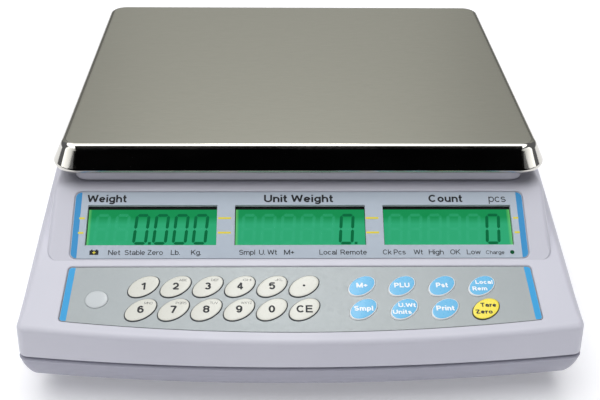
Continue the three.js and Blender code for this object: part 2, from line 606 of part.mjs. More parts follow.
add('keypad_overlay', makeKeypadOverlay(), 'keypadPrint', [0, 0, 0], keypadSlope);
add('keypad_circuit', makeKeypadCircuit(), 'clearPlastic', [0, 0, 0], keypadSlope);
keyboard.forEach(({ name, x, up, form, finish: look }) => (
  add(name, makeKey(form), look, [x, up, 0], keypadSlope)));
add('level_lens', makeLevelLens(), 'clearPlastic', [LEVEL.x, LEVEL.up, 0], keypadSlope);
add('level_cup', makeLevelCup(), 'clearPlastic', [LEVEL.x, LEVEL.up, 0], keypadSlope);

add('pan', makePan(), 'panSteel');
add('pan_carrier', makeCarrier(), 'casePlastic');
[['front_left', -1, -1], ['front_right', 1, -1], ['rear_left', -1, 1], ['rear_right', 1, 1]]
  .forEach(([corner, sideX, sideY]) => (
    add(`pan_pad_${corner}`, makePanPad(), 'rubber', [sideX * PAD.x, PAN.centreY + sideY * PAD.y, 0])));
add('platform_spider', makeSpider(), 'castAluminium');
add('load_cell', makeLoadCell(), 'castAluminium');
add('load_cell_spacer_fixed', makeSpacer(-1, CHASSIS.bottomZ + CHASSIS.thickness, CELL.bottomZ),
  'castAluminium');
add('load_cell_spacer_live', makeSpacer(1, CELL.bottomZ + CELL.height, SPIDER.bottomZ), 'castAluminium');
add('chassis', makeChassis(), 'platedSteel');

add('battery', makeBattery(), 'blackPlastic');
add('main_board', makeMainBoard(), 'circuitBoard');
add('serial_port', makeSerialPort(), 'platedSteel');
add('dc_jack', makeDcJack(), 'blackPlastic');
add('power_switch_body', makeSwitchBody(), 'blackPlastic');
add('power_rocker', makeRocker(), 'blackPlastic', [SWITCH.x, SWITCH.y, SWITCH.pivotZ]);
add('keypad_ribbon', makeKeypadRibbon(), 'cableSheath');
add('load_cell_cable', lead(loadCellRoute, LEAD.loadCellRadius, LEAD.loadCellSteps), 'cableSheath');
add('battery_lead', lead(batteryRoute, LEAD.batteryRadius, LEAD.batterySteps), 'cableSheath');

feet.forEach(({ name, x, y }) => {
  add(`foot_wheel_${name}`, makeFootWheel(), 'platedSteel', [x, y, 0]);
  add(`foot_pad_${name}`, makeFootPad(), 'rubber', [x, y, 0]);
});

export default scale;
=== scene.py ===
"""Looks for the counting scale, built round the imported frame. Lengths in this script are millimetres."""
import math

import bmesh
import bpy
from mathutils import Matrix, Vector


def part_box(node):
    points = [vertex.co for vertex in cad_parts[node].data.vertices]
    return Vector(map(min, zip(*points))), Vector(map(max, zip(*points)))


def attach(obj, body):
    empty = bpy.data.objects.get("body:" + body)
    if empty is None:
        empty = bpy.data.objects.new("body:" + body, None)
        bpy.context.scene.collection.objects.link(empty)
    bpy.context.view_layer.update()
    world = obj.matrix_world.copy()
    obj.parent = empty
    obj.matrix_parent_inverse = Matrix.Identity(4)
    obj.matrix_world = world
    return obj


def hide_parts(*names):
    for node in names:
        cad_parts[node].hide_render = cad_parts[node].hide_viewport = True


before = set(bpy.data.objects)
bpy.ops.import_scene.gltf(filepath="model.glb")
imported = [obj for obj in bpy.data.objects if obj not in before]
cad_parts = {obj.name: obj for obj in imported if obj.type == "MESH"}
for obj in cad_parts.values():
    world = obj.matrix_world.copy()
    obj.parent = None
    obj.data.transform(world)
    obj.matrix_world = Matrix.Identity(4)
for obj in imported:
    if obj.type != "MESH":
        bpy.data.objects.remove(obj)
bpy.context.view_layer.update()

MM = 0.001
GAP = 0.3
DEG = math.pi / 180
SMOOTH_ANGLE = 12.5 * DEG          # edges sharper than this stay crisp
FACING_UP = 0.99                   # the least Z of the normal of a face that faces up
TURNED_ANGLE, DOME_ANGLE, KEY_ANGLE = 30 * DEG, 40 * DEG, 50 * DEG
CORNER_STEPS = 10
FILLET_STEPS = 8
BEVEL_SEGMENTS = 3
QUARTER = [step / FILLET_STEPS * math.pi / 2 for step in range(FILLET_STEPS + 1)]
CORNERS = ("front_left", "front_right", "rear_left", "rear_right")


# ---- Driving dimensions, as in the part ----
class Case:
    half_width = 149.3
    front_y, rear_y = -171.4, 171.4
    bottom_z, parting_z, deck_z = 12.0, 32.0, 86.0
    wall = 2.5
    corner_radius = 5.5
    bow_radius = 1110.0
    front_tuck, rear_tuck, side_tuck = 10.9, 6.0, 2.3
    tuck_power = 1.6
    front_lean, rear_lean, side_draw = 0.074, 0.12, 2.5
    fillet, side_fillet = 2.2, 5.0     # of the top edge, along its front and its sides
    fillet_start, fillet_change = 6.0, 24.0
    lip = ((0.0, 1.5), (0.35, 0.6), (0.8, 0.15), (1.3, 0.0))       # rise and inset over the parting line
    wall_shares = (0.25, 0.5, 0.75)
    settling = 4               # rounds that settle a leaning wall's height and place
    inner_fillet = 0.5
    pocket_floor, block_roof = 1.8, 2.6
    post_hole, post_x, post_y = 10.0, 95.0, 75.0


class Keypad:
    tilt = 13 * DEG
    foot_y, foot_z = -170.2, 48.2
    pocket_depth = 3.2
    half_width, low, high = 127.0, 7.6, 52.8
    stripe_inset, stripe_width = 0.2, 3.4
    corner_radius = 2.0
    bow_radius = 1020.0


class Display:
    tilt = 32.5 * DEG
    crease_y = -114.3
    pocket_depth = 1.2
    half_width, low, high = 127.6, 1.5, 42.6
    corner_radius = 3.5
    window_low, window_high = 9.5, 34.3
    windows = {"lcd_weight": (-120.1, -47.0), "lcd_unit_weight": (-36.9, 36.9), "lcd_count": (47.0, 120.1)}
    lcd_top = -3.0


class Base:
    fillet = 3.0
    wall_rows = (17.5, 20.0, 22.5, 25.0, 27.5, 29.4)
    # height and inset round the bead and up into the groove under the parting line
    bead = ((29.9, -0.12), (30.3, -0.3), (30.7, -0.3), (31.0, -0.1), (31.2, 0.5), (31.4, 1.5))
    groove_inset = 1.6
    hollow_rows = (19.0, 25.0)
    boss_radius, boss_top = 9.0, 24
    stud_hole, stud_top = 4.5, 25
    switch_inset = 1.0
    cut_top = 16               # tools from below end here
    port_reach = (12, 5)       # ahead of and behind the rear wall
    well_radius, well_depth = 4.4, 1.6
    screws = ((-70, -138), (70, -138), (-138, 80), (138, 80), (-70, 155), (40, 155))
    vents, vent_half, vent_span = range(-28, 29, 8), 1.2, (40, 70)


class Block:
    half_width = 141.0
    corner_radius = 10.0
    fillet = 3.6
    lean = 0.085
    blend = 4.0                # half length of the blend from the slope to the deck
    foot, head = -1.0, 143.0
    rows, rear_row = (18.0, 30.0), 80.0
    buried = (25.0, 12.0)
    least_radius = 0.02


class Pocket:
    rim, flare = 0.9, 1.6      # radius of the mouth's round rim, and how far the tool goes past it


class Overlay:
    top = -0.5
    bottom = -0.9


class Pan:
    half_x, half_y, centre_y = 137.5, 112.5, 39.5
    top_z, wide_z = 110.0, 97.0        # the skirt is widest at wide_z
    thickness = 1.2
    bend, curl = 5.0, 2.5              # radii of the bend round the top and of the curled rim
    curl_end = -120 * DEG
    flare = 4.2
    corner_radius = 12.0
    underside = -0.9                   # the greatest Z of the normal of a face that faces down


class Level:
    x, up = -109.2, 29.9
    lens_radius, lens_gap = 6.1, 0.12
    # share of the radius, and height
    lens_profile = ((0, -1.1), (1.0, -1.1), (1.0, -0.45), (0.985, -0.28), (0.94, -0.12), (0.85, 0.0),
                    (0.6, 0.12), (0.3, 0.18), (0, 0.2))
    cup_profile = ((0, -10), (6.6, -10), (7.2, -9.4), (7.2, -2.6), (7.5, -2.4), (7.5, -1.5), (7.3, -1.3),
                   (0, -1.3))
    cup_hole = 7.8


KEY_ROWS = (38.6, 22.5)
CREASE_Z = Keypad.foot_z + (Display.crease_y - Keypad.foot_y) * math.tan(Keypad.tilt)
SLOPE_TOP = (Case.deck_z - CREASE_Z) / math.sin(Display.tilt)      # length of the display slope
WEDGE_TOP_Y = Keypad.foot_y + (Case.deck_z - Keypad.foot_z) / math.tan(Keypad.tilt)


def slope_matrix(tilt, y, z):
    """The frame of a slope: x across, y up the slope, z square to it, in millimetres."""
    return Matrix.Translation((0, y, z)) @ Matrix.Rotation(tilt, 4, "X")


KEYPAD_SLOPE = slope_matrix(Keypad.tilt, Keypad.foot_y, Keypad.foot_z)
DISPLAY_SLOPE = slope_matrix(Display.tilt, Display.crease_y, CREASE_Z)


# ---- Mesh helpers ----
def linked(name, data):
    """A new object in the scene."""
    obj = bpy.data.objects.new(name, data)
    bpy.context.scene.collection.objects.link(obj)
    return obj


def box_of(node):
    """The low and high corners of a CAD node."""
    return [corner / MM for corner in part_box(node)]


def centre_of(node):
    low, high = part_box(node)
    return (low + high) / 2 / MM


def new_object(name, points, faces, place=None):
    """A mesh object from points in millimetres. place is a matrix in millimetres, the object's own."""
    mesh = bpy.data.meshes.new(name)
    mesh.from_pydata([Vector(p) * MM for p in points], [], faces)
    mesh.validate()
    obj = linked(name, mesh)
    if place is not None:
        obj.matrix_world = in_metres(place)
    return obj


def in_metres(place):
    matrix = place.copy()
    matrix.translation = matrix.translation * MM
    return matrix


def remove(obj):
    bpy.data.objects.remove(obj, do_unlink=True)


def bake_modifiers(obj):
    bpy.context.view_layer.update()
    graph = bpy.context.evaluated_depsgraph_get()
    mesh = bpy.data.meshes.new_from_object(obj.evaluated_get(graph))
    obj.modifiers.clear()
    obj.data = mesh


def combine(obj, tools, operation):
    """Cuts obj by the tools, or joins them to it, and removes them."""
    for tool in tools:
        modifier = obj.modifiers.new("combine", "BOOLEAN")
        modifier.operation = operation
        modifier.solver = "EXACT"
        modifier.object = tool
        bake_modifiers(obj)
        remove(tool)
    return obj


def join_objects(name, objects):
    """One object from several, keeping each one's material."""
    mesh = bpy.data.meshes.new(name)
    build = bmesh.new()
    materials = []
    for obj in objects:
        part = obj.data.copy()
        part.transform(obj.matrix_world)
        first = len(materials)
        materials.extend(part.materials)
        for face in part.polygons:
            face.material_index += first
        build.from_mesh(part)
        bpy.data.meshes.remove(part)
        remove(obj)
    build.to_mesh(mesh)
    build.free()
    for material in materials:
        mesh.materials.append(material)
    return linked(name, mesh)


def smooth(obj, angle=SMOOTH_ANGLE):
    """Smooth shading that keeps flat faces flat and sharp edges crisp."""
    for face in obj.data.polygons:
        face.use_smooth = True
    obj.data.set_sharp_from_angle(angle=angle)
    weighted = obj.modifiers.new("weighted", "WEIGHTED_NORMAL")
    weighted.keep_sharp = True
    weighted.weight = 90
    bake_modifiers(obj)
    return obj


def box(name, low, high, place=None):
    x0, y0, z0 = low
    x1, y1, z1 = high
    points = [(x0, y0, z0), (x1, y0, z0), (x1, y1, z0), (x0, y1, z0),
              (x0, y0, z1), (x1, y0, z1), (x1, y1, z1), (x0, y1, z1)]
    faces = [(0, 3, 2, 1), (4, 5, 6, 7), (0, 1, 5, 4), (1, 2, 6, 5), (2, 3, 7, 6), (3, 0, 4, 7)]
    return new_object(name, points, faces, place)


def bevelled_box(name, low, high, radius, place=None):
    obj = box(name, low, high, place)
    bevel = obj.modifiers.new("bevel", "BEVEL")
    bevel.width = radius * MM
    bevel.segments = BEVEL_SEGMENTS
    bake_modifiers(obj)
    return obj


def turned(name, profile, sides=48, place=None, scale=(1, 1)):
    """A turned piece about Z. profile is [radius, z], lowest first; radius 0 closes an end."""
    rings = []
    for radius, z in profile:
        count = 1 if radius == 0 else sides
        rings.append([(radius * scale[0] * math.cos(2 * math.pi * k / sides),
                       radius * scale[1] * math.sin(2 * math.pi * k / sides), z) for k in range(count)])
    points = [point for ring in rings for point in ring]
    starts = [sum(len(ring) for ring in rings[:index]) for index in range(len(rings))]
    faces = []
    for index in range(len(rings) - 1):
        low, high = starts[index], starts[index + 1]
        for k in range(sides):
            following = (k + 1) % sides
            if len(rings[index]) == 1:
                faces.append((low, high + following, high + k))
            elif len(rings[index + 1]) == 1:
                faces.append((low + k, low + following, high))
            else:
                faces.append((low + k, low + following, high + following, high + k))
    return new_object(name, points, faces, place)


def rounded_outline(half_x, front, rear, radius, bow=None, bow_steps=12, side_points=(),
                    corner_steps=CORNER_STEPS):
    """A rectangle with round corners, anticlockwise from the middle of its front edge.
    bow is the radius of a front edge that is bowed outwards, and side_points are y values along the sides."""
    def bow_y(x):
        return front if bow is None else front + bow - math.sqrt(bow * bow - x * x)

    bow_end = half_x - radius if bow is None else (half_x - radius) / (1 - radius / bow)
    start = -math.pi / 2 if bow is None else math.asin(bow_end / bow) - math.pi / 2
    corner_y = bow_y(bow_end) - radius * math.sin(start)
    right = [(bow_end * step / bow_steps, bow_y(bow_end * step / bow_steps)) for step in range(bow_steps)]

    def corner(centre_y, begin, end):
        for step in range(corner_steps + 1):
            angle = begin + (end - begin) * step / corner_steps
            right.append((half_x - radius + radius * math.cos(angle), centre_y + radius * math.sin(angle)))

    corner(corner_y, start, 0)
    right.extend((half_x, y) for y in side_points)
    corner(rear - radius, 0, math.pi / 2)
    right.append((0.0, rear))
    left = [(-x, y) for x, y in reversed(right[1:-1])]
    return right + left


def skin(name, rings, caps=None, place=None):
    """A closed skin through rings of equal length. caps are the faces that close the last ring."""
    count = len(rings[0])
    points = [point for ring in rings for point in ring]
    faces = []
    for level in range(len(rings) - 1):
        start = level * count
        for k in range(count):
            following = (k + 1) % count
            faces.append((start + k, start + following, start + following + count, start + k + count))
    faces.append(tuple(range(count - 1, -1, -1)))
    last = (len(rings) - 1) * count
    for cap in caps or [range(count)]:
        faces.append(tuple(last + k for k in cap))
    return new_object(name, points, faces, place)


def caps_by_rows(ring, rows):
    """Splits the cap of a ring that is alike on both sides along lines at the given y values."""
    count = len(ring)
    right = range(1, count // 2)

    def nearest(row):
        return min(right, key=lambda k: abs(ring[k][1] - row) + (0 if ring[k][0] > 1 else 1e6))

    cuts = [nearest(row) for row in rows]
    faces = [[*range(0, cuts[0] + 1), *range(count - cuts[0], count)]]
    for low, high in zip(cuts, cuts[1:]):
        faces.append([*range(low, high + 1), *range(count - high, count - low + 1)])
    return [*faces, [*range(cuts[-1], count - cuts[-1] + 1)]]


def flat_plate(name, outline, low, high, place=None):
    """A flat plate: an outline drawn out between two heights."""
    return skin(name, [[(x, y, low) for x, y in outline], [(x, y, high) for x, y in outline]], place=place)


def ellipse(half_long, half_short, turn, steps, centre):
    points = []
    for step in range(steps):
        angle = 2 * math.pi * step / steps
        a, b = half_long * math.cos(angle), half_short * math.sin(angle)
        points.append((centre[0] + a * math.cos(turn) - b * math.sin(turn),
                       centre[1] + a * math.sin(turn) + b * math.cos(turn)))
    return points


# ---- Materials ----
def linear(hex_colour):
    """Linear light from a #rrggbb colour."""
    values = [int(hex_colour[k:k + 2], 16) / 255 for k in (1, 3, 5)]
    return tuple(v / 12.92 if v <= 0.04045 else ((v + 0.055) / 1.055) ** 2.4 for v in values) + (1.0,)


class Finish:
    """A node material: a Principled shader, and helpers that wire procedural detail into it."""

    def __init__(self, name, colour, roughness=0.5, metallic=0.0, **sockets):
        self.material = bpy.data.materials.new(name)
        self.material.use_nodes = True
        self.tree = self.material.node_tree
        self.shader = self.tree.nodes["Principled BSDF"]
        self.colour = linear(colour)
        self.shader.inputs["Base Color"].default_value = self.colour
        self.shader.inputs["Roughness"].default_value = roughness
        self.shader.inputs["Metallic"].default_value = metallic
        for socket, value in sockets.items():
            self.shader.inputs[socket.replace("_", " ")].default_value = value
        self.height = None

    def node(self, kind, **inputs):
        node = self.tree.nodes.new(kind)
        for socket, value in inputs.items():
            node.inputs[socket.replace("_", " ")].default_value = value
        return node

    def link(self, output, target):
        self.tree.links.new(output, target)

    def coordinates(self, stretch=(1, 1, 1)):
        """Object coordinates, stretched."""
        source = self.tree.nodes.new("ShaderNodeTexCoord")
        mapping = self.tree.nodes.new("ShaderNodeMapping")
        mapping.inputs["Scale"].default_value = stretch
        self.link(source.outputs["Object"], mapping.inputs["Vector"])
        return mapping.outputs["Vector"]

    def noise(self, scale, stretch=(1, 1, 1), detail=3.0):
        noise = self.node("ShaderNodeTexNoise", Scale=scale, Detail=detail)
        self.link(self.coordinates(stretch), noise.inputs["Vector"])
        return noise.outputs["Fac"]

    def remap(self, value, from_low, from_high, to_low, to_high):
        node = self.node("ShaderNodeMapRange")
        for socket, number in (("From Min", from_low), ("From Max", from_high), ("To Min", to_low),
                               ("To Max", to_high)):
            node.inputs[socket].default_value = number
        self.link(value, node.inputs["Value"])
        return node.outputs["Result"]

    def spread(self, scale, low, high, stretch=(1, 1, 1)):
        """Noise spread between two values."""
        return self.remap(self.noise(scale, stretch), 0.3, 0.7, low, high)

    def mix(self, factor, first, second):
        """Mixes two colours, each a #rrggbb string or another node's output."""
        node = self.tree.nodes.new("ShaderNodeMix")
        node.data_type = "RGBA"
        self.link(factor, node.inputs["Factor"])
        for socket, value in zip(("A", "B"), (first, second)):
            target = [s for s in node.inputs if s.name == socket and s.type == "RGBA"][0]
            if isinstance(value, str):
                target.default_value = linear(value)
            else:
                self.link(value, target)
        return [s for s in node.outputs if s.type == "RGBA"][0]

    def axis(self, name):
        """One of the object coordinates, X, Y or Z, in metres."""
        split = self.tree.nodes.new("ShaderNodeSeparateXYZ")
        self.link(self.coordinates(), split.inputs["Vector"])
        return split.outputs[name]

    def paint(self, colour):
        self.link(colour, self.shader.inputs["Base Color"])
        return self

    def rough(self, value):
        self.link(value, self.shader.inputs["Roughness"])
        return self

    def bump(self, height, strength, distance_mm):
        bump = self.node("ShaderNodeBump", Strength=strength, Distance=distance_mm * MM)
        self.link(height, bump.inputs["Height"])
        if self.height is not None:
            self.link(self.height, bump.inputs["Normal"])
        self.height = bump.outputs["Normal"]
        self.link(self.height, self.shader.inputs["Normal"])
        return self


def moulded(name, colour, shade, roughness=0.42, grain=2200.0, strength=0.12):
    """Moulded plastic: fine spark-eroded grain, faint flow marks in colour and a handled sheen."""
    finish = Finish(name, colour, roughness, Specular_IOR_Level=0.45)
    finish.paint(finish.mix(finish.spread(9.0, 0, 1, (1, 0.5, 1)), colour, shade))
    finish.rough(finish.spread(34.0, roughness - 0.05, roughness + 0.06))
    finish.bump(finish.noise(grain, detail=1.0), strength, 0.05)
    finish.bump(finish.noise(60.0), 0.05, 0.2)
    return finish.material


def printed_film(name, colour, shade):
    """Printed polycarbonate film: velvet texture with a faint metallic fleck."""
    finish = Finish(name, colour, 0.38, 0.35, Specular_IOR_Level=0.5)
    drift = finish.spread(5.0, 0, 1, (1, 2, 1))
    finish.paint(finish.mix(drift, colour, shade))
    finish.rough(finish.spread(900.0, 0.32, 0.46))
    finish.bump(finish.noise(2600.0, detail=1.0), 0.1, 0.04)
    return finish.material


def ink(name, colour, roughness=0.45):
    """Screen-printed ink with a slightly uneven film."""
    finish = Finish(name, colour, roughness, Specular_IOR_Level=0.3)
    finish.rough(finish.spread(700.0, roughness - 0.06, roughness + 0.08))
    finish.bump(finish.noise(1500.0), 0.06, 0.03)
    return finish.material


def key_film(name, colour, edge, roughness=0.3):
    """An embossed key: its colour drifts at random towards a deeper tone."""
    finish = Finish(name, colour, roughness, Specular_IOR_Level=0.5, Coat_Weight=0.25)
    finish.paint(finish.mix(finish.remap(finish.noise(160.0), 0.35, 0.75, 0, 0.3), colour, edge))
    finish.rough(finish.spread(800.0, roughness - 0.05, roughness + 0.07))
    finish.bump(finish.noise(2000.0, detail=1.0), 0.08, 0.04)
    return finish.material


def brushed_metal(name, colour, shade, roughness, stretch, scale=240.0, strength=0.12):
    """Brushed metal: long fine scratches along one axis, in colour, roughness and relief."""
    finish = Finish(name, colour, roughness, 1.0)
    scratches = finish.noise(scale, stretch, detail=5.0)
    finish.paint(finish.mix(finish.remap(scratches, 0.35, 0.65, 0, 1), colour, shade))
    finish.rough(finish.remap(scratches, 0.3, 0.7, roughness - 0.06, roughness + 0.06))
    finish.bump(scratches, strength, 0.03)
    return finish.material


def polished_steel(name, colour):
    """Polished stainless steel with faint wipe marks."""
    finish = Finish(name, colour, 0.06, 1.0)
    finish.rough(finish.spread(30.0, 0.05, 0.1, (1, 1, 3)))
    return finish.material


def cast_metal(name, colour, shade):
    finish = Finish(name, colour, 0.5, 1.0)
    finish.paint(finish.mix(finish.spread(120.0, 0, 1), colour, shade))
    finish.rough(finish.spread(400.0, 0.42, 0.6))
    finish.bump(finish.noise(900.0), 0.3, 0.1)
    return finish.material


def moulded_rubber(name, colour, shade):
    finish = Finish(name, colour, 0.8, Specular_IOR_Level=0.3)
    finish.paint(finish.mix(finish.spread(90.0, 0, 1), colour, shade))
    finish.rough(finish.spread(500.0, 0.7, 0.92))
    finish.bump(finish.noise(1200.0), 0.25, 0.08)
    return finish.material


def solder_mask(name):
    """A green circuit board with lighter copper tracks under its lacquer."""
    finish = Finish(name, "#1f5a34", 0.35, Specular_IOR_Level=0.5)
    tracks = finish.node("ShaderNodeTexBrick", Scale=60.0, Mortar_Size=0.03)
    finish.link(finish.coordinates(), tracks.inputs["Vector"])
    finish.paint(finish.mix(tracks.outputs["Fac"], "#1f5a34", "#3c8a52"))
    finish.rough(finish.spread(300.0, 0.28, 0.42))
    finish.bump(tracks.outputs["Fac"], 0.2, 0.05)
    return finish.material


def backlight(name, width_half, glow_side):
    """A backlit green display: darker at its top, with the lamp's glow at one end."""
    finish = Finish(name, "#06140c", 0.25, Specular_IOR_Level=0.1)
    up = finish.remap(finish.axis("Y"), Display.window_low * MM, Display.window_high * MM, 0, 1)
    band = finish.remap(up, 0.56, 0.74, 0, 1)
    field = finish.mix(band, "#30ac78", "#0e8e4d")
    across = finish.remap(finish.axis("X"), -width_half * MM, width_half * MM, 0, 1)
    edge = (0.03, 0.0) if glow_side < 0 else (0.97, 1.0)
    glow = finish.remap(across, edge[0], edge[1], 0, 0.6)
    drift = finish.spread(28.0, 0, 0.25)
    field = finish.mix(drift, field, "#2aa872")
    field = finish.mix(glow, field, "#8ce878")
    finish.link(field, finish.shader.inputs["Emission Color"])
    finish.shader.inputs["Emission Strength"].default_value = 0.92
    finish.paint(finish.mix(drift, "#06140c", "#0a1a12"))
    return finish.material


def lit_ink(name, colour, shade, alpha=1.0):
    """A display segment: it lets some of the backlight through."""
    finish = Finish(name, "#04120b", 0.35, Emission_Strength=0.92, Specular_IOR_Level=0.05, Alpha=alpha)
    drift = finish.spread(200.0, 0, 1)
    finish.link(finish.mix(drift, colour, shade), finish.shader.inputs["Emission Color"])
    finish.paint(finish.mix(drift, "#04120b", "#061a10"))
    return finish.material


def make_finishes():
    return {
        "case": moulded("case_plastic", "#d0d0da", "#cacad5"),
        # Painted shade: the lower case is the same plastic as the top cover, darkened to stand in for the
        # shade it sits in.
        "base": moulded("base_plastic", "#a3a3b0", "#9e9eab"),
        "display_film": printed_film("display_film", "#bac5d1", "#b3becb"),
        "keypad_film": printed_film("keypad_film", "#969c9d", "#8f9597"),
        "stripe": ink("blue_ink", "#2f93cf"),
        "dash": ink("yellow_ink", "#e6d83c"),
        "keypad_stripe": ink("cyan_ink", "#2b9fda"),
        "word": ink("black_ink", "#1a1c22"),
        "white": ink("white_ink", "#f4f8fa"),
        "cream": key_film("cream_key", "#d1d1c7", "#c8c8bd"),
        "cream_rim": ink("cream_key_rim", "#4a4d50"),
        "blue": key_film("blue_key", "#4fb3e2", "#389ed2"),
        "yellow": key_film("yellow_key", "#f6e324", "#ebd61a"),
        "yellow_rim": ink("yellow_key_rim", "#5a5738"),
        "lens": moulded("lens_plastic", "#c6cbcd", "#bec4c7", 0.22, 600.0, 0.02),
        "pan_top": brushed_metal("pan_brushed", "#b9b8ae", "#aeada3", 0.34, (0.6, 60, 1)),
        "pan_skirt": polished_steel("pan_polished", "#cfcdc6"),
        "cast": cast_metal("cast_aluminium", "#b4b6b8", "#9b9da0"),
        "plated": brushed_metal("plated_steel", "#aeb0b2", "#94979a", 0.38, (1, 1, 12), 120.0),
        "rubber": moulded_rubber("black_rubber", "#1e1e1f", "#29292a"),
        "black": moulded("black_plastic", "#1d1d1f", "#262628", 0.5),
        "board": solder_mask("circuit_board"),
        "sheath": moulded_rubber("cable_sheath", "#232325", "#2e2e31"),
        "segment": lit_ink("display_segment", "#00663a", "#026c40"),
        "ghost": lit_ink("display_ghost", "#3db787", "#35ae7e", 0.36),
        # Near black: the displays' dark sides and frames, plus painted shade along each window's edge.
        "shadow": ink("display_gap", "#0a1410"),
        "lamp": lit_ink("charge_lamp", "#0d4a2c", "#11542f"),
    }


def dress(obj, body, slot, *materials):
    """Gives a piece its materials and its CAD body; its slot is not used."""
    obj.data.materials.clear()
    for material in materials:
        obj.data.materials.append(material)
    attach(obj, body)
    return obj


# ---- Case ----
SIDE_ROWS = (-150, -135, -118, -100, -80, -60, -40, -20, WEDGE_TOP_Y, 20, 50, 80, 110, 140)


def case_outline(z, inset=0.0):
    tuck = max(0.0, (Case.parting_z - z) / (Case.parting_z - Case.bottom_z)) ** Case.tuck_power
    rise = max(0.0, z - Case.parting_z)
    draw = Case.side_draw * (rise / (Case.deck_z - Case.parting_z)) ** 2
    return rounded_outline(
        Case.half_width - Case.side_tuck * tuck - draw - inset,
        Case.front_y + Case.front_tuck * tuck + Case.front_lean * rise + inset,
        Case.rear_y - Case.rear_tuck * tuck - Case.rear_lean * rise - inset,
        Case.corner_radius - inset, Case.bow_radius, side_points=SIDE_ROWS)


def wedge_height(y, drop=0.0, deck_drop=0.0):
    slope = Keypad.foot_z - drop / math.cos(Keypad.tilt) + (y - Keypad.foot_y) * math.tan(Keypad.tilt)
    return min(slope, Case.deck_z - deck_drop)


def top_edge_radius(y):
    """The case's top edge is crisp along the front and rounder along the sides."""
    share = min(max((y - Case.front_y - Case.fillet_start) / Case.fillet_change, 0.0), 1.0)
    return Case.fillet + (Case.side_fillet - Case.fillet) * share * share * (3 - 2 * share)


def wedge_skin(name, low_z, inset=0.0, drop=0.0, edge_radius=top_edge_radius):
    """The case above the parting line without its display block: walls, a round edge and the two tops."""
    count = len(case_outline(Case.parting_z))

    def ring(place_of):
        """place_of gives a point's height and inset from the top's height and the edge's radius there."""
        points = []
        for index in range(count):
            z, ring_inset = Case.parting_z, 0.0
            for _ in range(Case.settling):
                x, y = case_outline(z, inset + ring_inset)[index]
                z, ring_inset = place_of(wedge_height(y, drop, inset), edge_radius(y))
            points.append((x, y, z))
        return points

    foot = Case.lip if inset == 0 else ((0.0, inset),)
    rings = [[(x, y, low_z + rise) for x, y in case_outline(low_z + rise, edge_inset)]
             for rise, edge_inset in foot]
    start = low_z + foot[-1][0]
    for share in Case.wall_shares:
        rings.append(ring(lambda top, radius, s=share: (start + s * (top - radius - start), 0.0)))
    for angle in QUARTER:
        fall, draw = 1 - math.sin(angle), 1 - math.cos(angle)
        rings.append(ring(lambda top, radius, f=fall, d=draw: (top - radius * f, radius * d)))
    return skin(name, rings, caps=caps_by_rows(rings[-1], (WEDGE_TOP_Y,)))


def block_skin(name, grow=0.0, drop=0.0, fillet=Block.fillet):
    """The raised block that holds the displays, in the display slope's frame."""
    blend = Block.blend
    rows = [SLOPE_TOP + blend * step / 4 for step in range(-4, 5)]
    fall = math.tan(Display.tilt)

    def height(up):
        into = min(max((up - SLOPE_TOP + blend) / (2 * blend), 0.0), 1.0)
        return -fall * blend * into * into - fall * max(0.0, up - SLOPE_TOP - blend) - drop

    def outline(inset_of):
        """The outline moved in by the amount that inset_of gives for each point's y."""
        flat, inner = (rounded_outline(Block.half_width + grow - by, Block.foot - grow + by, Block.head - by,
                                       Block.corner_radius - by, bow_steps=6,
                                       side_points=(*Block.rows, *rows, Block.rear_row)) for by in (0.0, 1.0))
        points = []
        for (x0, y0), (x1, y1) in zip(flat, inner):
            inset = inset_of(y0)
            points.append((x0 + (x1 - x0) * inset, y0 + (y1 - y0) * inset))
        return points

    def radius_at(y):
        """The round edge fades out towards the block's buried lower edge."""
        along = min(max(y / Block.corner_radius, 0.0), 1.0)
        return fillet * along * along * (3 - 2 * along) + Block.least_radius

    rings = []
    for depth in Block.buried:
        rings.append([(x, y, height(y) - depth) for x, y in outline(lambda y, d=depth: -Block.lean * d)])
    base = outline(lambda y: 0.0)
    for angle in QUARTER:
        places = outline(lambda y, a=angle: radius_at(y) * (1 - math.cos(a)))
        rings.append([(x, y, height(y) - radius_at(start_y) * (1 - math.sin(angle)))
                      for (x, y), (_, start_y) in zip(places, base)])
    return skin(name, rings, caps=caps_by_rows(rings[-1], rows), place=DISPLAY_SLOPE)


def pocket_tool(name, outline_of, depth, place):
    """Cuts a pocket whose mouth has a round rim. outline_of gives the outline grown by a distance."""
    rim = Pocket.rim
    rings = [[(x, y, -depth) for x, y in outline_of(GAP)]]
    for angle in QUARTER[:-2]:
        grow = GAP + rim * (1 - math.cos(angle))
        rings.append([(x, y, -rim + rim * math.sin(angle)) for x, y in outline_of(grow)])
    rings.append([(x, y, 1.0) for x, y in outline_of(GAP + rim + Pocket.flare)])
    return skin(name, rings, place=place)


def display_outline(grow):
    return rounded_outline(Display.half_width + grow, Display.low - grow, Display.high + grow,
                           Display.corner_radius + grow)


def keypad_outline(grow):
    return rounded_outline(Keypad.half_width + grow, Keypad.low - grow, Keypad.high + grow,
                           Keypad.corner_radius + grow, Keypad.bow_radius, bow_steps=16)


def post_places():
    """Where the platform's four posts stand, from the pads above them."""
    centre = centre_of("platform_spider")
    return [(side_x * Case.post_x, centre.y + side_y * Case.post_y)
            for side_x in (-1, 1) for side_y in (-1, 1)]


def cylinder(name, radius, low, high, centre=(0, 0), sides=48, place=None):
    move = Matrix.Translation((centre[0], centre[1], 0))
    return turned(name, [(0, low), (radius, low), (radius, high), (0, high)], sides,
                  move if place is None else place @ move)


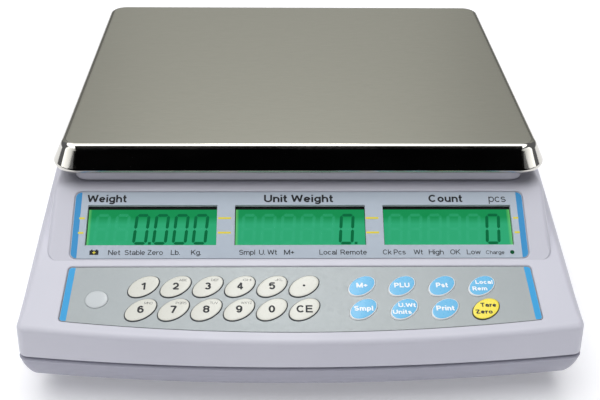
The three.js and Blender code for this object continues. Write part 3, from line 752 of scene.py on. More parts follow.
def make_top_cover(finishes):
    cover = wedge_skin("top_cover_moulding", Case.parting_z + GAP / 2)
    combine(cover, [block_skin("raised")], "UNION")
    tools = [wedge_skin("hollow", Case.parting_z - 1, Case.wall, Keypad.pocket_depth + Case.pocket_floor,
                        lambda y: Case.inner_fillet),
             block_skin("raised_hollow", -Case.wall, Case.block_roof, Case.inner_fillet)]
    tools += [box("window", (low, Display.window_low, -9), (high, Display.window_high, 1), DISPLAY_SLOPE)
              for low, high in Display.windows.values()]
    tools += [cylinder("post_hole", Case.post_hole, Case.deck_z - 10, Case.deck_z + 5, place)
              for place in post_places()]
    tools.append(pocket_tool("display_pocket", display_outline, Display.pocket_depth, DISPLAY_SLOPE))
    tools.append(pocket_tool("keypad_pocket", keypad_outline, Keypad.pocket_depth, KEYPAD_SLOPE))
    tools.append(cylinder("cup_hole", Level.cup_hole, -12, 1, (Level.x, Level.up), place=KEYPAD_SLOPE))
    combine(cover, tools, "DIFFERENCE")
    smooth(cover)
    dress(cover, "housing", "case_plastic", finishes["case"])
    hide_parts("top_cover")


def base_rings():
    """The lower case from its flat bottom up to the bead and the groove under the parting line."""
    rings = [(Case.bottom_z + Base.fillet * (1 - math.cos(angle)), Base.fillet * (1 - math.sin(angle)))
             for angle in QUARTER]
    rings += [(z, 0.0) for z in Base.wall_rows]
    rings += [*Base.bead, (Case.parting_z - GAP / 2, Base.groove_inset)]
    return [[(x, y, z) for x, y in case_outline(z, inset)] for z, inset in rings]


def base_openings(feet):
    """Tools for the stud holes, the battery hatch, the switch, the sockets, the screws and the vents."""
    def from_below(name, node, grow):
        low, high = box_of(node)
        return box(name, (low.x - grow, low.y - grow, 0), (high.x + grow, high.y + grow, Base.cut_top))

    tools = [cylinder("stud_hole", Base.stud_hole, 0, Base.stud_top, (foot.x, foot.y)) for foot in feet]
    tools.append(from_below("hatch", "battery_door", GAP))
    tools.append(from_below("switch", "power_switch_body", -Base.switch_inset))
    ahead, behind = Base.port_reach
    for node in ("serial_port", "dc_jack"):
        low, high = box_of(node)
        tools.append(box("port", (low.x - GAP, Case.rear_y - ahead, low.z - GAP),
                         (high.x + GAP, Case.rear_y + behind, high.z + GAP)))
    tools += [cylinder("screw_well", Base.well_radius, 0, Case.bottom_z + Base.well_depth, place)
              for place in Base.screws]
    near, far = Base.vent_span
    return tools + [box("vent", (x - Base.vent_half, near, 0), (x + Base.vent_half, far, Base.cut_top))
                    for x in Base.vents]


def make_base_shell(finishes):
    base = skin("base_moulding", base_rings())
    floor_z = Case.bottom_z + Case.wall
    hollow = skin("hollow", [[(x, y, z) for x, y in case_outline(z, Case.wall)]
                             for z in (floor_z, *Base.hollow_rows, Case.parting_z + 1)])
    combine(base, [hollow], "DIFFERENCE")
    feet = [centre_of(f"foot_wheel_{corner}") for corner in CORNERS]
    bosses = [cylinder("boss", Base.boss_radius, floor_z - 1, Base.boss_top, (foot.x, foot.y))
              for foot in feet]
    combine(base, bosses, "UNION")
    combine(base, base_openings(feet), "DIFFERENCE")
    smooth(base)
    # The base is dressed in the case plastic darkened with painted shade.
    dress(base, "housing", "base_plastic", finishes["base"])
    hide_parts("base_shell")


class Door:
    bevel = 0.5
    grips, grip_pitch = 4, 3
    grip_side, grip_near, grip_far, grip_depth = 12, 14, 12.6, 0.7


def make_battery_door(finishes):
    low, high = box_of("battery_door")
    door = bevelled_box("battery_door_moulding", low, high, Door.bevel)
    grips = []
    for row in range(Door.grips):
        back = high.y - Door.grip_pitch * row
        grips.append(box("grip", (low.x + Door.grip_side, back - Door.grip_near, low.z - 1),
                         (high.x - Door.grip_side, back - Door.grip_far, low.z + Door.grip_depth)))
    combine(door, grips, "DIFFERENCE")
    smooth(door)
    # The door takes the base's darkened plastic, with its painted shade.
    dress(door, "housing", "base_plastic", finishes["base"])
    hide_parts("battery_door")


class Screw:
    profile = ((0, 0.4), (2.2, 0.4), (3.0, 0.9), (3.3, 1.6), (1.6, 1.65), (1.6, 6.0), (0, 6.0))
    sunk = 0.2
    cross_long, cross_short, cross_top = 1.9, 0.35, 1.0


def make_case_screws(finishes):
    """Cross-head screws in the wells of the underside."""
    heads = []
    top = Case.bottom_z + Screw.cross_top
    for x, y in Base.screws:
        head = turned("screw", Screw.profile, 32, Matrix.Translation((x, y, Case.bottom_z - Screw.sunk)))
        cross = [box("cross", (x - a, y - b, 0), (x + a, y + b, top))
                 for a, b in ((Screw.cross_long, Screw.cross_short), (Screw.cross_short, Screw.cross_long))]
        heads.append(combine(head, cross, "DIFFERENCE"))
    screws = join_objects("case_screws", heads)
    smooth(screws, TURNED_ANGLE)
    dress(screws, "housing", "plated_steel", finishes["plated"])


# ---- Lettering ----
# A plain sans of strokes. A glyph is drawn in units of its capital height; its width includes its strokes.
class Letter:
    small = 0.73               # height of small letters
    tail = -0.27               # foot of letters that hang below the line
    space = 0.34
    step = 15                  # degrees between points of a curve
    sharp = 75 * DEG           # a stroke is split where it turns by more than this
    gap, gap_share = 0.06, 0.15
    lift = 0.03                # of the ink over the film
    layer_rise = 0.004         # each stroke lies this much above the one before
    closing = 1e-6             # a stroke whose ends are nearer than this is closed
    least_cosine, most_widened = 0.35, 1.9


def curve_points(middle_x, middle_y, reach_x, reach_y, start, end):
    """Points on an ellipse between two angles in degrees, in the direction from start to end."""
    steps = max(2, round(abs(end - start) / Letter.step))
    angles = [math.radians(start + (end - start) * k / steps) for k in range(steps + 1)]
    return [(middle_x + reach_x * math.cos(a), middle_y + reach_y * math.sin(a)) for a in angles]


class Pen:
    """Centre lines of strokes of one weight. A stroke that closes ends where it starts."""

    def __init__(self, weight):
        self.weight = weight
        self.half = weight / 2
        self.foot, self.head = self.half, 1 - self.half
        self.small, self.tail = Letter.small - self.half, Letter.tail + self.half

    def sizes(self, width):
        return self.half, width - self.half, width / 2

    def ring(self, width, low, high):
        left, right, middle = self.sizes(width)
        return curve_points(middle, (low + high) / 2, (right - left) / 2, (high - low) / 2, 90, 450)

    def bowl(self, left, right, low, high):
        """A stroke from a stem, round to the right and back to the stem."""
        bend = (high - low) / 2
        turn = right - min(bend, (right - left) * 0.8)
        return [(left, high), *curve_points(turn, low + bend, right - turn, bend, 90, -90), (left, low)]

    def double_curve(self, width, low, high):
        """The curve of an S."""
        left, right, middle = self.sizes(width)
        centre = low + (high - low) * 0.52
        upper, lower = (high - centre) / 2, (centre - low) / 2
        reach = (right - left) / 2
        return [*curve_points(middle, centre + upper, reach * 0.94, upper, 25, 270),
                *curve_points(middle, centre - lower, reach, lower, 90, -155)[1:]]

    def arch(self, left, right):
        """The arch and right stem of an n."""
        middle, reach = (left + right) / 2, (right - left) / 2
        return [*curve_points(middle, self.small - reach, reach, reach, 170, 0), (right, 0.0)]


def capitals(pen):
    """The width of each capital and its strokes."""
    half, foot, head, bowl = pen.half, pen.foot, pen.head, pen.bowl
    left, belly = half, 0.52
    stem = [(left, 0), (left, 1)]
    return {
        "A": (0.92, [[(half * 0.9, 0), (0.46, 1 - half * 0.5), (0.92 - half * 0.9, 0)],
                     [(0.2, 0.3), (0.72, 0.3)]]),
        "B": (0.8, [stem, bowl(left, 0.8 - half - 0.04, belly, head), bowl(left, 0.8 - half, foot, belly)]),
        "C": (0.9, [curve_points(0.45, 0.5, 0.45 - half, head - 0.5, 42, 318)]),
        "D": (0.86, [stem, bowl(left, 0.86 - half, foot, head)]),
        "E": (0.76, [stem, [(left, head), (0.74, head)], [(left, belly), (0.7, belly)],
                     [(left, foot), (0.76, foot)]]),
        "F": (0.72, [stem, [(left, head), (0.72, head)], [(left, belly), (0.66, belly)]]),
        "G": (0.94, [[*curve_points(0.46, 0.5, 0.46 - half, head - 0.5, 45, 330), (0.94 - half, 0.46),
                      (0.5, 0.46)]]),
        "H": (0.84, [stem, [(0.84 - half, 0), (0.84 - half, 1)], [(left, belly), (0.84 - half, belly)]]),
        "I": (pen.weight, [[(half, 0), (half, 1)]]),
        "J": (0.66, [[(0.66 - half, 1), *curve_points(0.33, 0.29, 0.33 - half, 0.29 - half, 0, -175)]]),
        "K": (0.84, [stem, [(0.8 - half * 0.4, 1), (left, 0.36)], [(0.32, 0.58), (0.84 - half * 0.5, 0)]]),
        "L": (0.68, [stem, [(left, foot), (0.68, foot)]]),
        "M": (0.98, [stem, [(left, 1 - half * 0.4), (0.49, half * 0.7), (0.98 - half, 1 - half * 0.4)],
                     [(0.98 - half, 0), (0.98 - half, 1)]]),
        "N": (0.84, [stem, [(left, 1 - half * 0.4), (0.84 - half, half * 0.4)],
                     [(0.84 - half, 0), (0.84 - half, 1)]]),
        "O": (0.94, [pen.ring(0.94, foot, head)]),
        "P": (0.78, [stem, bowl(left, 0.78 - half, 0.44, head)]),
        "Q": (0.94, [pen.ring(0.94, foot, head), [(0.56, 0.26), (0.92, -0.04)]]),
        "R": (0.84, [stem, bowl(left, 0.79 - half, 0.46, head), [(0.42, 0.46), (0.84 - half * 0.6, 0)]]),
        "S": (0.8, [pen.double_curve(0.8, foot, head)]),
        "T": (0.76, [[(0.38, 0), (0.38, 1)], [(0, head), (0.76, head)]]),
        "U": (0.84, [[(left, 1), *curve_points(0.42, 0.36, 0.42 - half, 0.36 - half, 180, 360),
                      (0.84 - half, 1)]]),
        "V": (0.88, [[(half * 0.8, 1), (0.44, half * 0.6), (0.88 - half * 0.8, 1)]]),
        "W": (1.2, [[(half * 0.8, 1), (0.31, half * 0.6), (0.6, 1 - half), (0.89, half * 0.6),
                     (1.2 - half * 0.8, 1)]]),
        "X": (0.86, [[(half, 1), (0.86 - half, 0)], [(half, 0), (0.86 - half, 1)]]),
        "Y": (0.86, [[(half * 0.9, 1), (0.43, 0.42)], [(0.86 - half * 0.9, 1), (0.43, 0.42), (0.43, 0)]]),
        "Z": (0.76, [[(0.02, head), (0.74 - half, head), (half, foot), (0.76, foot)]]),
    }


def small_letters(pen):
    half, foot, small, full = pen.half, pen.foot, pen.small, Letter.small
    left, right, middle = pen.sizes(0.7)
    level, reach = (foot + small) / 2, (right - left) / 2
    ring, curve = pen.ring(0.7, foot, small), (middle, level, reach, (small - foot) / 2)
    stem, short_stem = [(left, 0), (left, 1)], [(half, 0), (half, full)]
    return {
        "a": (0.7, [[*curve_points(middle, small - 0.19, reach, 0.19, 160, 0), (right, 0)],
                    curve_points(middle - 0.02, foot + 0.155, reach - 0.02, 0.155, 0, 360)]),
        "b": (0.7, [stem, ring]),
        "c": (0.68, [curve_points(*curve, 42, 318)]),
        "e": (0.7, [[(left, level), (right - 0.01, level), *curve_points(*curve, 8, 320)]]),
        "g": (0.7, [ring, [(right, full), (right, 0.0),
                           *curve_points(middle, pen.tail + 0.2, reach, 0.2, 0, -155)]]),
        "h": (0.68, [stem, pen.arch(left, 0.68 - half)]),
        "i": (pen.weight, [short_stem, [(half, 0.86), (half, 1)]]),
        "k": (0.66, [stem, [(0.62 - half * 0.5, full), (left, 0.26)],
                     [(0.28, 0.44), (0.66 - half * 0.5, 0)]]),
        "l": (pen.weight, [[(half, 0), (half, 1)]]),
        "m": (1.04, [short_stem, pen.arch(half, 0.52), pen.arch(0.52, 1.04 - half)]),
        "n": (0.68, [short_stem, pen.arch(half, 0.68 - half)]),
        "o": (0.7, [ring]),
        "p": (0.7, [[(left, Letter.tail), (left, full)], ring]),
        "r": (0.44, [short_stem, curve_points(0.44, small - 0.3, 0.44 - half, 0.3, 170, 88)]),
        "s": (0.64, [pen.double_curve(0.64, foot, small)]),
        "t": (0.4, [[(0.17, 0.95), (0.17, 0.17), *curve_points(0.3, foot + 0.1, 0.13, 0.1, 180, 275),
                     (0.4, foot)], [(0, small), (0.38, small)]]),
        "u": (0.68, [[(half, full), *curve_points(0.34, 0.3, 0.34 - half, 0.3 - half, 180, 350)],
                     [(0.68 - half, 0), (0.68 - half, full)]]),
        "w": (0.96, [[(half * 0.8, full), (0.26, half * 0.6), (0.48, small), (0.7, half * 0.6),
                      (0.96 - half * 0.8, full)]]),
    }


def figures(pen):
    half, foot, head = pen.half, pen.foot, pen.head
    wide = 0.66
    left, right, middle = pen.sizes(wide)
    reach = (right - left) / 2
    return {
        "0": (wide, [pen.ring(wide, foot, head)]),
        "1": (0.42, [[(0.42 - half, 0), (0.42 - half, 1)], [(0.0, 0.72), (0.2, 0.8), (0.42 - half, 0.97)]]),
        "2": (wide, [[*curve_points(middle, head - 0.27, reach, 0.27, 168, -38), (left, foot),
                      (wide, foot)]]),
        "3": (wide, [curve_points(middle, head - 0.215, reach - 0.03, 0.215, 155, -90),
                     curve_points(middle, foot + 0.235, reach, 0.235, 90, -155)]),
        "4": (wide + 0.06, [[(0.5, 0), (0.5, 0.96), (half, 0.28), (wide + 0.06, 0.28)]]),
        "5": (wide, [[(wide - 0.05, head), (0.16, head), (0.1, 0.5),
                      *curve_points(middle, foot + 0.27, reach, 0.27, 130, -155)]]),
        "6": (wide, [pen.ring(wide, foot, 0.6),
                     [*curve_points(middle, 0.5, reach, head - 0.5, 40, 180), (left, 0.3)]]),
        "7": (wide, [[(0.02, head), (wide - half, head), (0.38, 0.45), (0.24, 0)]]),
        "8": (wide, [pen.ring(wide, foot, 0.54), pen.ring(wide, 0.54, head)]),
        "9": (wide, [pen.ring(wide, 0.4, head),
                     [*curve_points(middle, 0.5, reach, 0.5 - foot, 220, 360), (right, 0.7)]]),
        "+": (0.6, [[(0.3, 0.2), (0.3, 0.72)], [(0.03, 0.46), (0.57, 0.46)]]),
        ".": (pen.weight, [[(half, 0), (half, pen.weight)]]),
    }


def glyphs(weight):
    pen = Pen(weight)
    return {**capitals(pen), **small_letters(pen), **figures(pen)}


def ribbon(line, weight):
    """The two edges of a stroke of even width along a centre line."""
    closed = math.dist(line[0], line[-1]) < Letter.closing
    edges = []
    count = len(line)
    for index, (x, y) in enumerate(line):
        before = line[index - 1] if index else (line[-2] if closed else None)
        after = line[index + 1] if index + 1 < count else (line[1] if closed else None)
        directions = []
        for start, end in ((before, (x, y)), ((x, y), after)):
            if start is not None and end is not None:
                directions.append(Vector((end[0] - start[0], end[1] - start[1])).normalized())
        across = sum(directions, Vector((0, 0))).normalized()
        side = Vector((-across.y, across.x))
        widen = min(1 / max(abs(across.dot(directions[0])), Letter.least_cosine), Letter.most_widened)
        reach = side * (weight / 2 * widen)
        edges.append(((x + reach.x, y + reach.y), (x - reach.x, y - reach.y)))
    return edges


def straight_runs(line):
    """Splits a stroke where it turns sharply, so that each part keeps its full width."""
    runs = []
    run = [line[0]]
    for before, here, after in zip(line, line[1:], line[2:]):
        run.append(here)
        if (Vector(here) - Vector(before)).angle(Vector(after) - Vector(here), 0.0) > Letter.sharp:
            runs.append(run)
            run = [here]
    return [*runs, [*run, line[-1]]]


def word_mesh(text, height, width, weight):
    """A flat word of the given width and capital height, with its lower left corner at the origin."""
    shapes = glyphs(weight)
    points, faces = [], []
    pen = 0.0
    for character in text:
        if character == " ":
            pen += Letter.space
            continue
        advance, strokes = shapes[character]
        for layer, line in enumerate(run for stroke in strokes for run in straight_runs(stroke)):
            edges = ribbon(line, weight)
            first = len(points)
            points += [(pen + x, y, layer * Letter.layer_rise) for edge in edges for x, y in edge]
            for start in range(first, first + 2 * len(edges) - 2, 2):
                faces.append((start + 1, start + 3, start + 2, start))
        pen += advance + Letter.gap + weight * Letter.gap_share
    run = width / max(x for x, _, _ in points)
    mesh = bpy.data.meshes.new(text)
    mesh.from_pydata([Vector((x * run, y * height, z)) * MM for x, y, z in points], [], faces)
    return mesh


# ---- Printed words and marks ----
def printed_word(text, x, up, height, place, width, weight):
    mesh = word_mesh(text, height, width, weight)
    mesh.transform(Matrix.Translation(Vector((x, up, Overlay.top + Letter.lift)) * MM))
    obj = linked(text, mesh)
    obj.matrix_world = in_metres(place)
    return obj


def printed_outline(points, place, lift=0.02):
    points = [(x, y, Overlay.top + lift) for x, y in points]
    return new_object("mark", points, [tuple(range(len(points)))], place)


def printed_group(name, marks, finish, slot):
    group = join_objects(name, marks)
    dress(group, "housing", slot, finish)


def rectangle(x0, y0, x1, y1):
    return [(x0, y0), (x1, y0), (x1, y1), (x0, y1)]


class DisplayPrint:
    """Words as (text, x, width), then their height up the slope, capital height and stroke weight."""
    titles = ((("Weight", -120.8, 22.2), ("Unit Weight", -20.5, 39.4), ("Count", 73.6, 19.4)), 36.1, 4.7, 0.2)
    unit = ((("pcs", 108.1, 9.9),), 36.1, 4.7, 0.12)
    signs = ((("Net", -106.7, 6.7), ("Stable", -97.6, 11.3), ("Zero", -84.9, 8.5), ("Lb.", -72.0, 5.0),
              ("Kg.", -60.8, 5.5), ("Smpl", -34.2, 8.9), ("U. Wt", -23.1, 10.0), ("M+", -9.2, 5.6),
              ("Local", 10.5, 9.7), ("Remote", 22.3, 14.7), ("Ck Pcs", 45.9, 12.8), ("Wt", 63.2, 5.1),
              ("High", 71.6, 8.4), ("OK", 83.6, 5.8), ("Low", 92.9, 7.8)), 3.6, 3.0, 0.14)
    charge = ((("Charge", 103.6, 10.4),), 3.7, 2.3, 0.14)
    stripe_inset, stripe_width = 0.25, 3.4
    dash_rows, dash_half, dash_lift = (17.1, 26.1), 0.6, 0.03
    dash_spans = ((-124.4, -121.3), (-46.3, -39.0), (37.1, 44.4), (121.0, 124.0))
    lamp_place = (118.4, 4.9, Overlay.top)
    lamp_profile = ((0, -0.4), (1.3, -0.4), (1.2, 0.05), (0.8, 0.35), (0, 0.5))


def make_display_print(finishes):
    words = [printed_word(text, x, up, height, DISPLAY_SLOPE, width, weight)
             for line, up, height, weight in (DisplayPrint.titles, DisplayPrint.unit, DisplayPrint.signs,
                                              DisplayPrint.charge) for text, x, width in line]
    words += battery_sign()
    printed_group("display_words", words, finishes["word"], "display_print")
    ends = end_stripes(display_outline(-DisplayPrint.stripe_inset), DisplayPrint.stripe_width)
    stripes = [printed_outline(outline, DISPLAY_SLOPE) for outline in ends]
    printed_group("display_stripes", stripes, finishes["stripe"], "display_print")
    half = DisplayPrint.dash_half
    dashes = [printed_outline(rectangle(x0, up - half, x1, up + half), DISPLAY_SLOPE, DisplayPrint.dash_lift)
              for up in DisplayPrint.dash_rows for x0, x1 in DisplayPrint.dash_spans]
    printed_group("display_dashes", dashes + battery_cross(), finishes["dash"], "display_print")
    lamp = turned("charge_lamp_lens", DisplayPrint.lamp_profile, 24,
                  DISPLAY_SLOPE @ Matrix.Translation(DisplayPrint.lamp_place))
    smooth(lamp, DOME_ANGLE)
    dress(lamp, "housing", "clear_plastic", finishes["lamp"])


def make_display_overlay(finishes):
    overlay = flat_plate("display_film_sheet", display_outline(0), Overlay.bottom, Overlay.top, DISPLAY_SLOPE)
    holes = [box("window", (low, Display.window_low, -2), (high, Display.window_high, 1), DISPLAY_SLOPE)
             for low, high in Display.windows.values()]
    combine(overlay, holes, "DIFFERENCE")
    dress(overlay, "housing", "display_print", finishes["display_film"])
    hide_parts("display_overlay")
    make_display_print(finishes)


class BatterySign:
    left, low, right, high = -117.0, 3.7, -112.0, 6.4
    post, post_inset, post_rise = 0.9, 0.7, 0.5
    cross_x, cross_up, cross_reach, cross_half, cross_lift = -114.5, 5.05, 0.95, 0.22, 0.03


def battery_sign():
    """A small battery picture: a solid case with its two terminals."""
    left, right, high = BatterySign.left, BatterySign.right, BatterySign.high
    post, inset = BatterySign.post, BatterySign.post_inset
    parts = [rectangle(left, BatterySign.low, right, high)]
    parts += [rectangle(x, high, x + post, high + BatterySign.post_rise)
              for x in (left + inset, right - inset - post)]
    return [printed_outline(part, DISPLAY_SLOPE) for part in parts]


def battery_cross():
    """The plus sign on the battery picture."""
    x, up = BatterySign.cross_x, BatterySign.cross_up
    reach, half = BatterySign.cross_reach, BatterySign.cross_half
    parts = [rectangle(x - a, up - b, x + a, up + b) for a, b in ((reach, half), (half, reach))]
    return [printed_outline(part, DISPLAY_SLOPE, BatterySign.cross_lift + Letter.layer_rise * layer)
            for layer, part in enumerate(parts)]


def end_stripes(outline, width):
    """The strips of an overlay outline within a width of its two ends."""
    reach = max(x for x, _ in outline) - width
    right = [point for point in outline if point[0] > reach]
    low = min(right, key=lambda p: p[1])[1]
    high = max(right, key=lambda p: p[1])[1]
    right = [(reach, low)] + sorted(right, key=lambda p: p[1]) + [(reach, high)]
    return [right, [(-x, y) for x, y in reversed(right)]]


# ---- Keypad ----
class Key:
    bottom = -1.5
    digit_first, digit_pitch = -85.0, 17.3
    function_first, function_pitch = 32.8, 21.73
    digit_form = (9.7, 6.2, 40 * DEG, 0.25)          # half long, half short, turn, top
    function_form = (8.9, 5.8, 42 * DEG, 0.35)
    hole_gap = 0.14
    # share of the radius, and height over the film or over the key's top
    edge = ((1.0, 0.06), (0.992, 0.22), (0.972, 0.38))
    shoulder = ((0.945, -0.24), (0.915, -0.17), (0.88, -0.12), (0.8, -0.08), (0.6, -0.04), (0.3, -0.01),
                (0, 0))
    # face, rim and print, slot, and the share of the radius where the rim starts
    styles = {"cream": ("cream", "cream_rim", "word", "cream_key", 0.955),
              "yellow": ("yellow", "yellow_rim", "word", "yellow_key", 0.94),
              "blue": ("blue", "white", "white", "blue_key", 0.9)}


DIGIT_KEYS = (("1", "1", ""), ("2", "2", "ABC"), ("3", "3", "DEF"), ("4", "4", "GHI"), ("5", "5", "JKL"),
              ("point", ".", ""), ("6", "6", "MNO"), ("7", "7", "PQRS"), ("8", "8", "TUV"),
              ("9", "9", "WXYZ"), ("0", "0", ""), ("clear", "CE", ""))
FUNCTION_KEYS = (("total", (("M+", 6.0),)), ("recall", (("PLU", 8.4),)), ("preset", (("Pst", 6.4),)),
                 ("source", (("Local", 9.4), ("Rem", 8.0))), ("sample", (("Smpl", 10.2),)),
                 ("unit_weight", (("U.Wt", 9.3), ("Units", 10.0))), ("print", (("Print", 9.6),)),
                 ("tare_zero", (("Tare", 8.4), ("Zero", 9.0))))


def key_places():
    """Every key as (name, x, up, form)."""
    places = []
    for index, (name, _, _) in enumerate(DIGIT_KEYS):
        row, column = divmod(index, 6)
        places.append((name, Key.digit_first + column * Key.digit_pitch, KEY_ROWS[row], Key.digit_form))
    for index, (name, _) in enumerate(FUNCTION_KEYS):
        row, column = divmod(index, 4)
        x = Key.function_first + column * Key.function_pitch
        places.append((name, x, KEY_ROWS[row], Key.function_form))
    return places


def crown(top):
    """A key's half section, as share of its radius and height: steep edge, soft shoulder, low crown."""
    return [(0, Key.bottom), (1.0, Key.bottom), *((share, Overlay.top + rise) for share, rise in Key.edge),
            *((share, top + rise) for share, rise in Key.shoulder)]


def crown_height(x, y, form):
    """The height of a key's crown at a place given from its centre."""
    half_long, half_short, turn, top = form
    along = x * math.cos(turn) + y * math.sin(turn)
    across = y * math.cos(turn) - x * math.sin(turn)
    share = min(math.hypot(along / half_long, across / half_short), 1.0)
    section = crown(top)[3:]
    for (high_share, low_height), (low_share, high_height) in zip(section, section[1:]):
        if share >= low_share:
            part = (share - low_share) / (high_share - low_share)
            return high_height + (low_height - high_height) * part
    return top


class Legend:
    lift = 0.025
    digit_height, digit_weight = 5.0, 0.2
    digit_width, other_widths = 3.5, {"CE": 8.6, "1": 2.2}
    letters_place, letters_height, letters_weight, letter_width = (3.8, 4.3), 1.6, 0.1, 1.45
    point_radius, point_up, point_sides = 0.75, 0.2, 16
    single_up, single_height, single_weight = 0.2, 3.3, 0.23
    upper_place, lower_place, double_height, double_weight = (1.5, 2.3), (-1.4, -2.3), 2.8, 0.22


def key_legend(text, x, up, height, form, width, weight):
    """A printed word centred on a key and draped on its crown, in the key's own frame."""
    mesh = word_mesh(text, height, width, weight)
    middle = max(v.co.x for v in mesh.vertices) / MM / 2
    for vertex in mesh.vertices:
        px, py = vertex.co.x / MM - middle + x, vertex.co.y / MM - height / 2 + up
        rise = crown_height(px, py, form) + Legend.lift
        vertex.co = Vector((px * MM, py * MM, vertex.co.z + rise * MM))
    return linked(text, mesh)


def make_key(name, x, up, form, legends, style, finishes):
    face, rim, word, slot, rim_share = Key.styles[style]
    half_long, half_short, turn, top = form
    here = KEYPAD_SLOPE @ Matrix.Translation((x, up, 0))
    key = turned(f"key_{name}_cap", crown(top), 56, here @ Matrix.Rotation(turn, 4, "Z"),
                 (half_long, half_short))
    smooth(key, KEY_ANGLE)
    body = f"key_{name}"
    dress(key, body, slot, finishes[face], finishes[rim])
    for polygon in key.data.polygons:
        share = math.hypot(polygon.center.x / half_long, polygon.center.y / half_short) / MM
        polygon.material_index = 1 if share > rim_share else 0
    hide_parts(body)
    for legend in legends:
        legend.matrix_world = in_metres(here)
    print_piece = join_objects(f"key_{name}_legend", legends)
    dress(print_piece, body, slot, finishes[word])


def digit_legends(text, letters, form):
    if text == ".":
        turns = [2 * math.pi * k / Legend.point_sides for k in range(Legend.point_sides)]
        dot = [(Legend.point_radius * math.cos(a), Legend.point_radius * math.sin(a)) for a in turns]
        points = [(x, y + Legend.point_up, crown_height(x, y, form) + Legend.lift) for x, y in dot]
        return [new_object("point", points, [tuple(range(len(points)))])]
    width = Legend.other_widths.get(text, Legend.digit_width)
    legends = [key_legend(text, 0, 0, Legend.digit_height, form, width, Legend.digit_weight)]
    if letters:
        legends.append(key_legend(letters, *Legend.letters_place, Legend.letters_height, form,
                                  Legend.letter_width * len(letters), Legend.letters_weight))
    return legends


def function_legends(lines, form):
    if len(lines) == 1:
        (text, width), = lines
        return [key_legend(text, 0, Legend.single_up, Legend.single_height, form, width,
                           Legend.single_weight)]
    return [key_legend(text, *place, Legend.double_height, form, width, Legend.double_weight)
            for (text, width), place in zip(lines, (Legend.upper_place, Legend.lower_place))]


def make_keys(finishes):
    texts = {name: (text, letters) for name, text, letters in DIGIT_KEYS}
    lines = dict(FUNCTION_KEYS)
    for name, x, up, form in key_places():
        if name in texts:
            style, legends = "cream", digit_legends(*texts[name], form)
        else:
            style = "yellow" if name == "tare_zero" else "blue"
            legends = function_legends(lines[name], form)
        make_key(name, x, up, form, legends, style, finishes)


def make_keypad_overlay(finishes):
    sheet = flat_plate("keypad_film_sheet", keypad_outline(0), Overlay.bottom, Overlay.top, KEYPAD_SLOPE)
    holes = []
    for _, x, up, (half_long, half_short, turn, _) in key_places():
        edge = ellipse(half_long + Key.hole_gap, half_short + Key.hole_gap, turn, 56, (x, up))
        holes.append(flat_plate("key_hole", edge, -2, 1, KEYPAD_SLOPE))
    radius = Level.lens_radius + Level.lens_gap
    lens = ellipse(radius, radius, 0, 56, (Level.x, Level.up))
    holes.append(flat_plate("lens_hole", lens, -2, 1, KEYPAD_SLOPE))
    combine(sheet, [join_objects("key_holes", holes)], "DIFFERENCE")
    dress(sheet, "housing", "keypad_print", finishes["keypad_film"])
    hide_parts("keypad_overlay")
    ends = end_stripes(keypad_outline(-Keypad.stripe_inset), Keypad.stripe_width)
    stripes = [printed_outline(outline, KEYPAD_SLOPE) for outline in ends]
    printed_group("keypad_stripes", stripes, finishes["keypad_stripe"], "keypad_print")


def make_level(finishes):
    """The round window of the spirit level and the cup under it."""
    here = KEYPAD_SLOPE @ Matrix.Translation((Level.x, Level.up, 0))
    profile = [(share * Level.lens_radius, z) for share, z in Level.lens_profile]
    lens = turned("level_window", profile, 56, here)
    smooth(lens, DOME_ANGLE)
    dress(lens, "housing", "clear_plastic", finishes["lens"])
    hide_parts("level_lens")
    cup = turned("level_cup_moulding", Level.cup_profile, 48, here)
    smooth(cup, TURNED_ANGLE)
    dress(cup, "housing", "clear_plastic", finishes["lens"])
    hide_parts("level_cup")


# ---- Displays ----
class Digit:
    width, height, bar, low = 8.4, 19.1, 1.75, 10.8
    pitch = 11.1
    slant = math.tan(4 * DEG)
    gap = 0.22
    point = ((-2.1, 0.1), (-0.5, 0.1), (-0.5, 1.7), (-2.1, 1.7))
    lift = 0.03


DIGITS = {"lcd_weight": (-116.6, "  0.000"), "lcd_unit_weight": (-34.0, "     0."),
          "lcd_count": (49.1, "     0")}
LIT = {"0": "abcdef", " ": ""}


def segments():
    """The seven segments of a digit, as outlines from its lower left corner."""
    width, height, bar, gap = Digit.width, Digit.height, Digit.bar, Digit.gap
    half = bar / 2
    middle = height / 2

    def across(y):
        end, shoulder = width - half - gap, width - bar - gap
        return [(half + gap, y), (bar + gap, y - half), (shoulder, y - half), (end, y), (shoulder, y + half),
                (bar + gap, y + half)]

    def upright(x, low, high):
        return [(x, low + gap), (x + half, low + half + gap), (x + half, high - half - gap), (x, high - gap),
                (x - half, high - half - gap), (x - half, low + half + gap)]

    return {"a": across(height - half), "g": across(middle), "d": across(half),
            "f": upright(half, middle, height - half), "b": upright(width - half, middle, height - half),
            "e": upright(half, half, middle), "c": upright(width - half, half, middle)}


def segment_piece(outline, x):
    points = [(x + px + Digit.slant * py, Digit.low + py, Display.lcd_top + Digit.lift) for px, py in outline]
    return new_object("segment", points, [tuple(range(len(points)))], DISPLAY_SLOPE)


def display_segments(first, text):
    """Lit and unlit segments. A point follows the digit that it stands after."""
    lit, ghost = [], []
    shapes = segments()
    place = 0
    for character in text:
        x = first + place * Digit.pitch
        if character == ".":
            lit.append(segment_piece(Digit.point, x))
            continue
        for letter, outline in shapes.items():
            group = lit if letter in LIT[character] else ghost
            group.append(segment_piece(outline, x))
        place += 1
    return lit, ghost


class Glass:
    margin, depth, bevel = 2.0, 9, 0.4
    # The mask: the display's black frame, plus painted shade along the window's edges.
    mask_low, mask_high = 0.01, 0.09
    mask_left, mask_right, mask_foot, mask_head = 0.45, 0.2, 0.15, 1.7
    overhang = 1


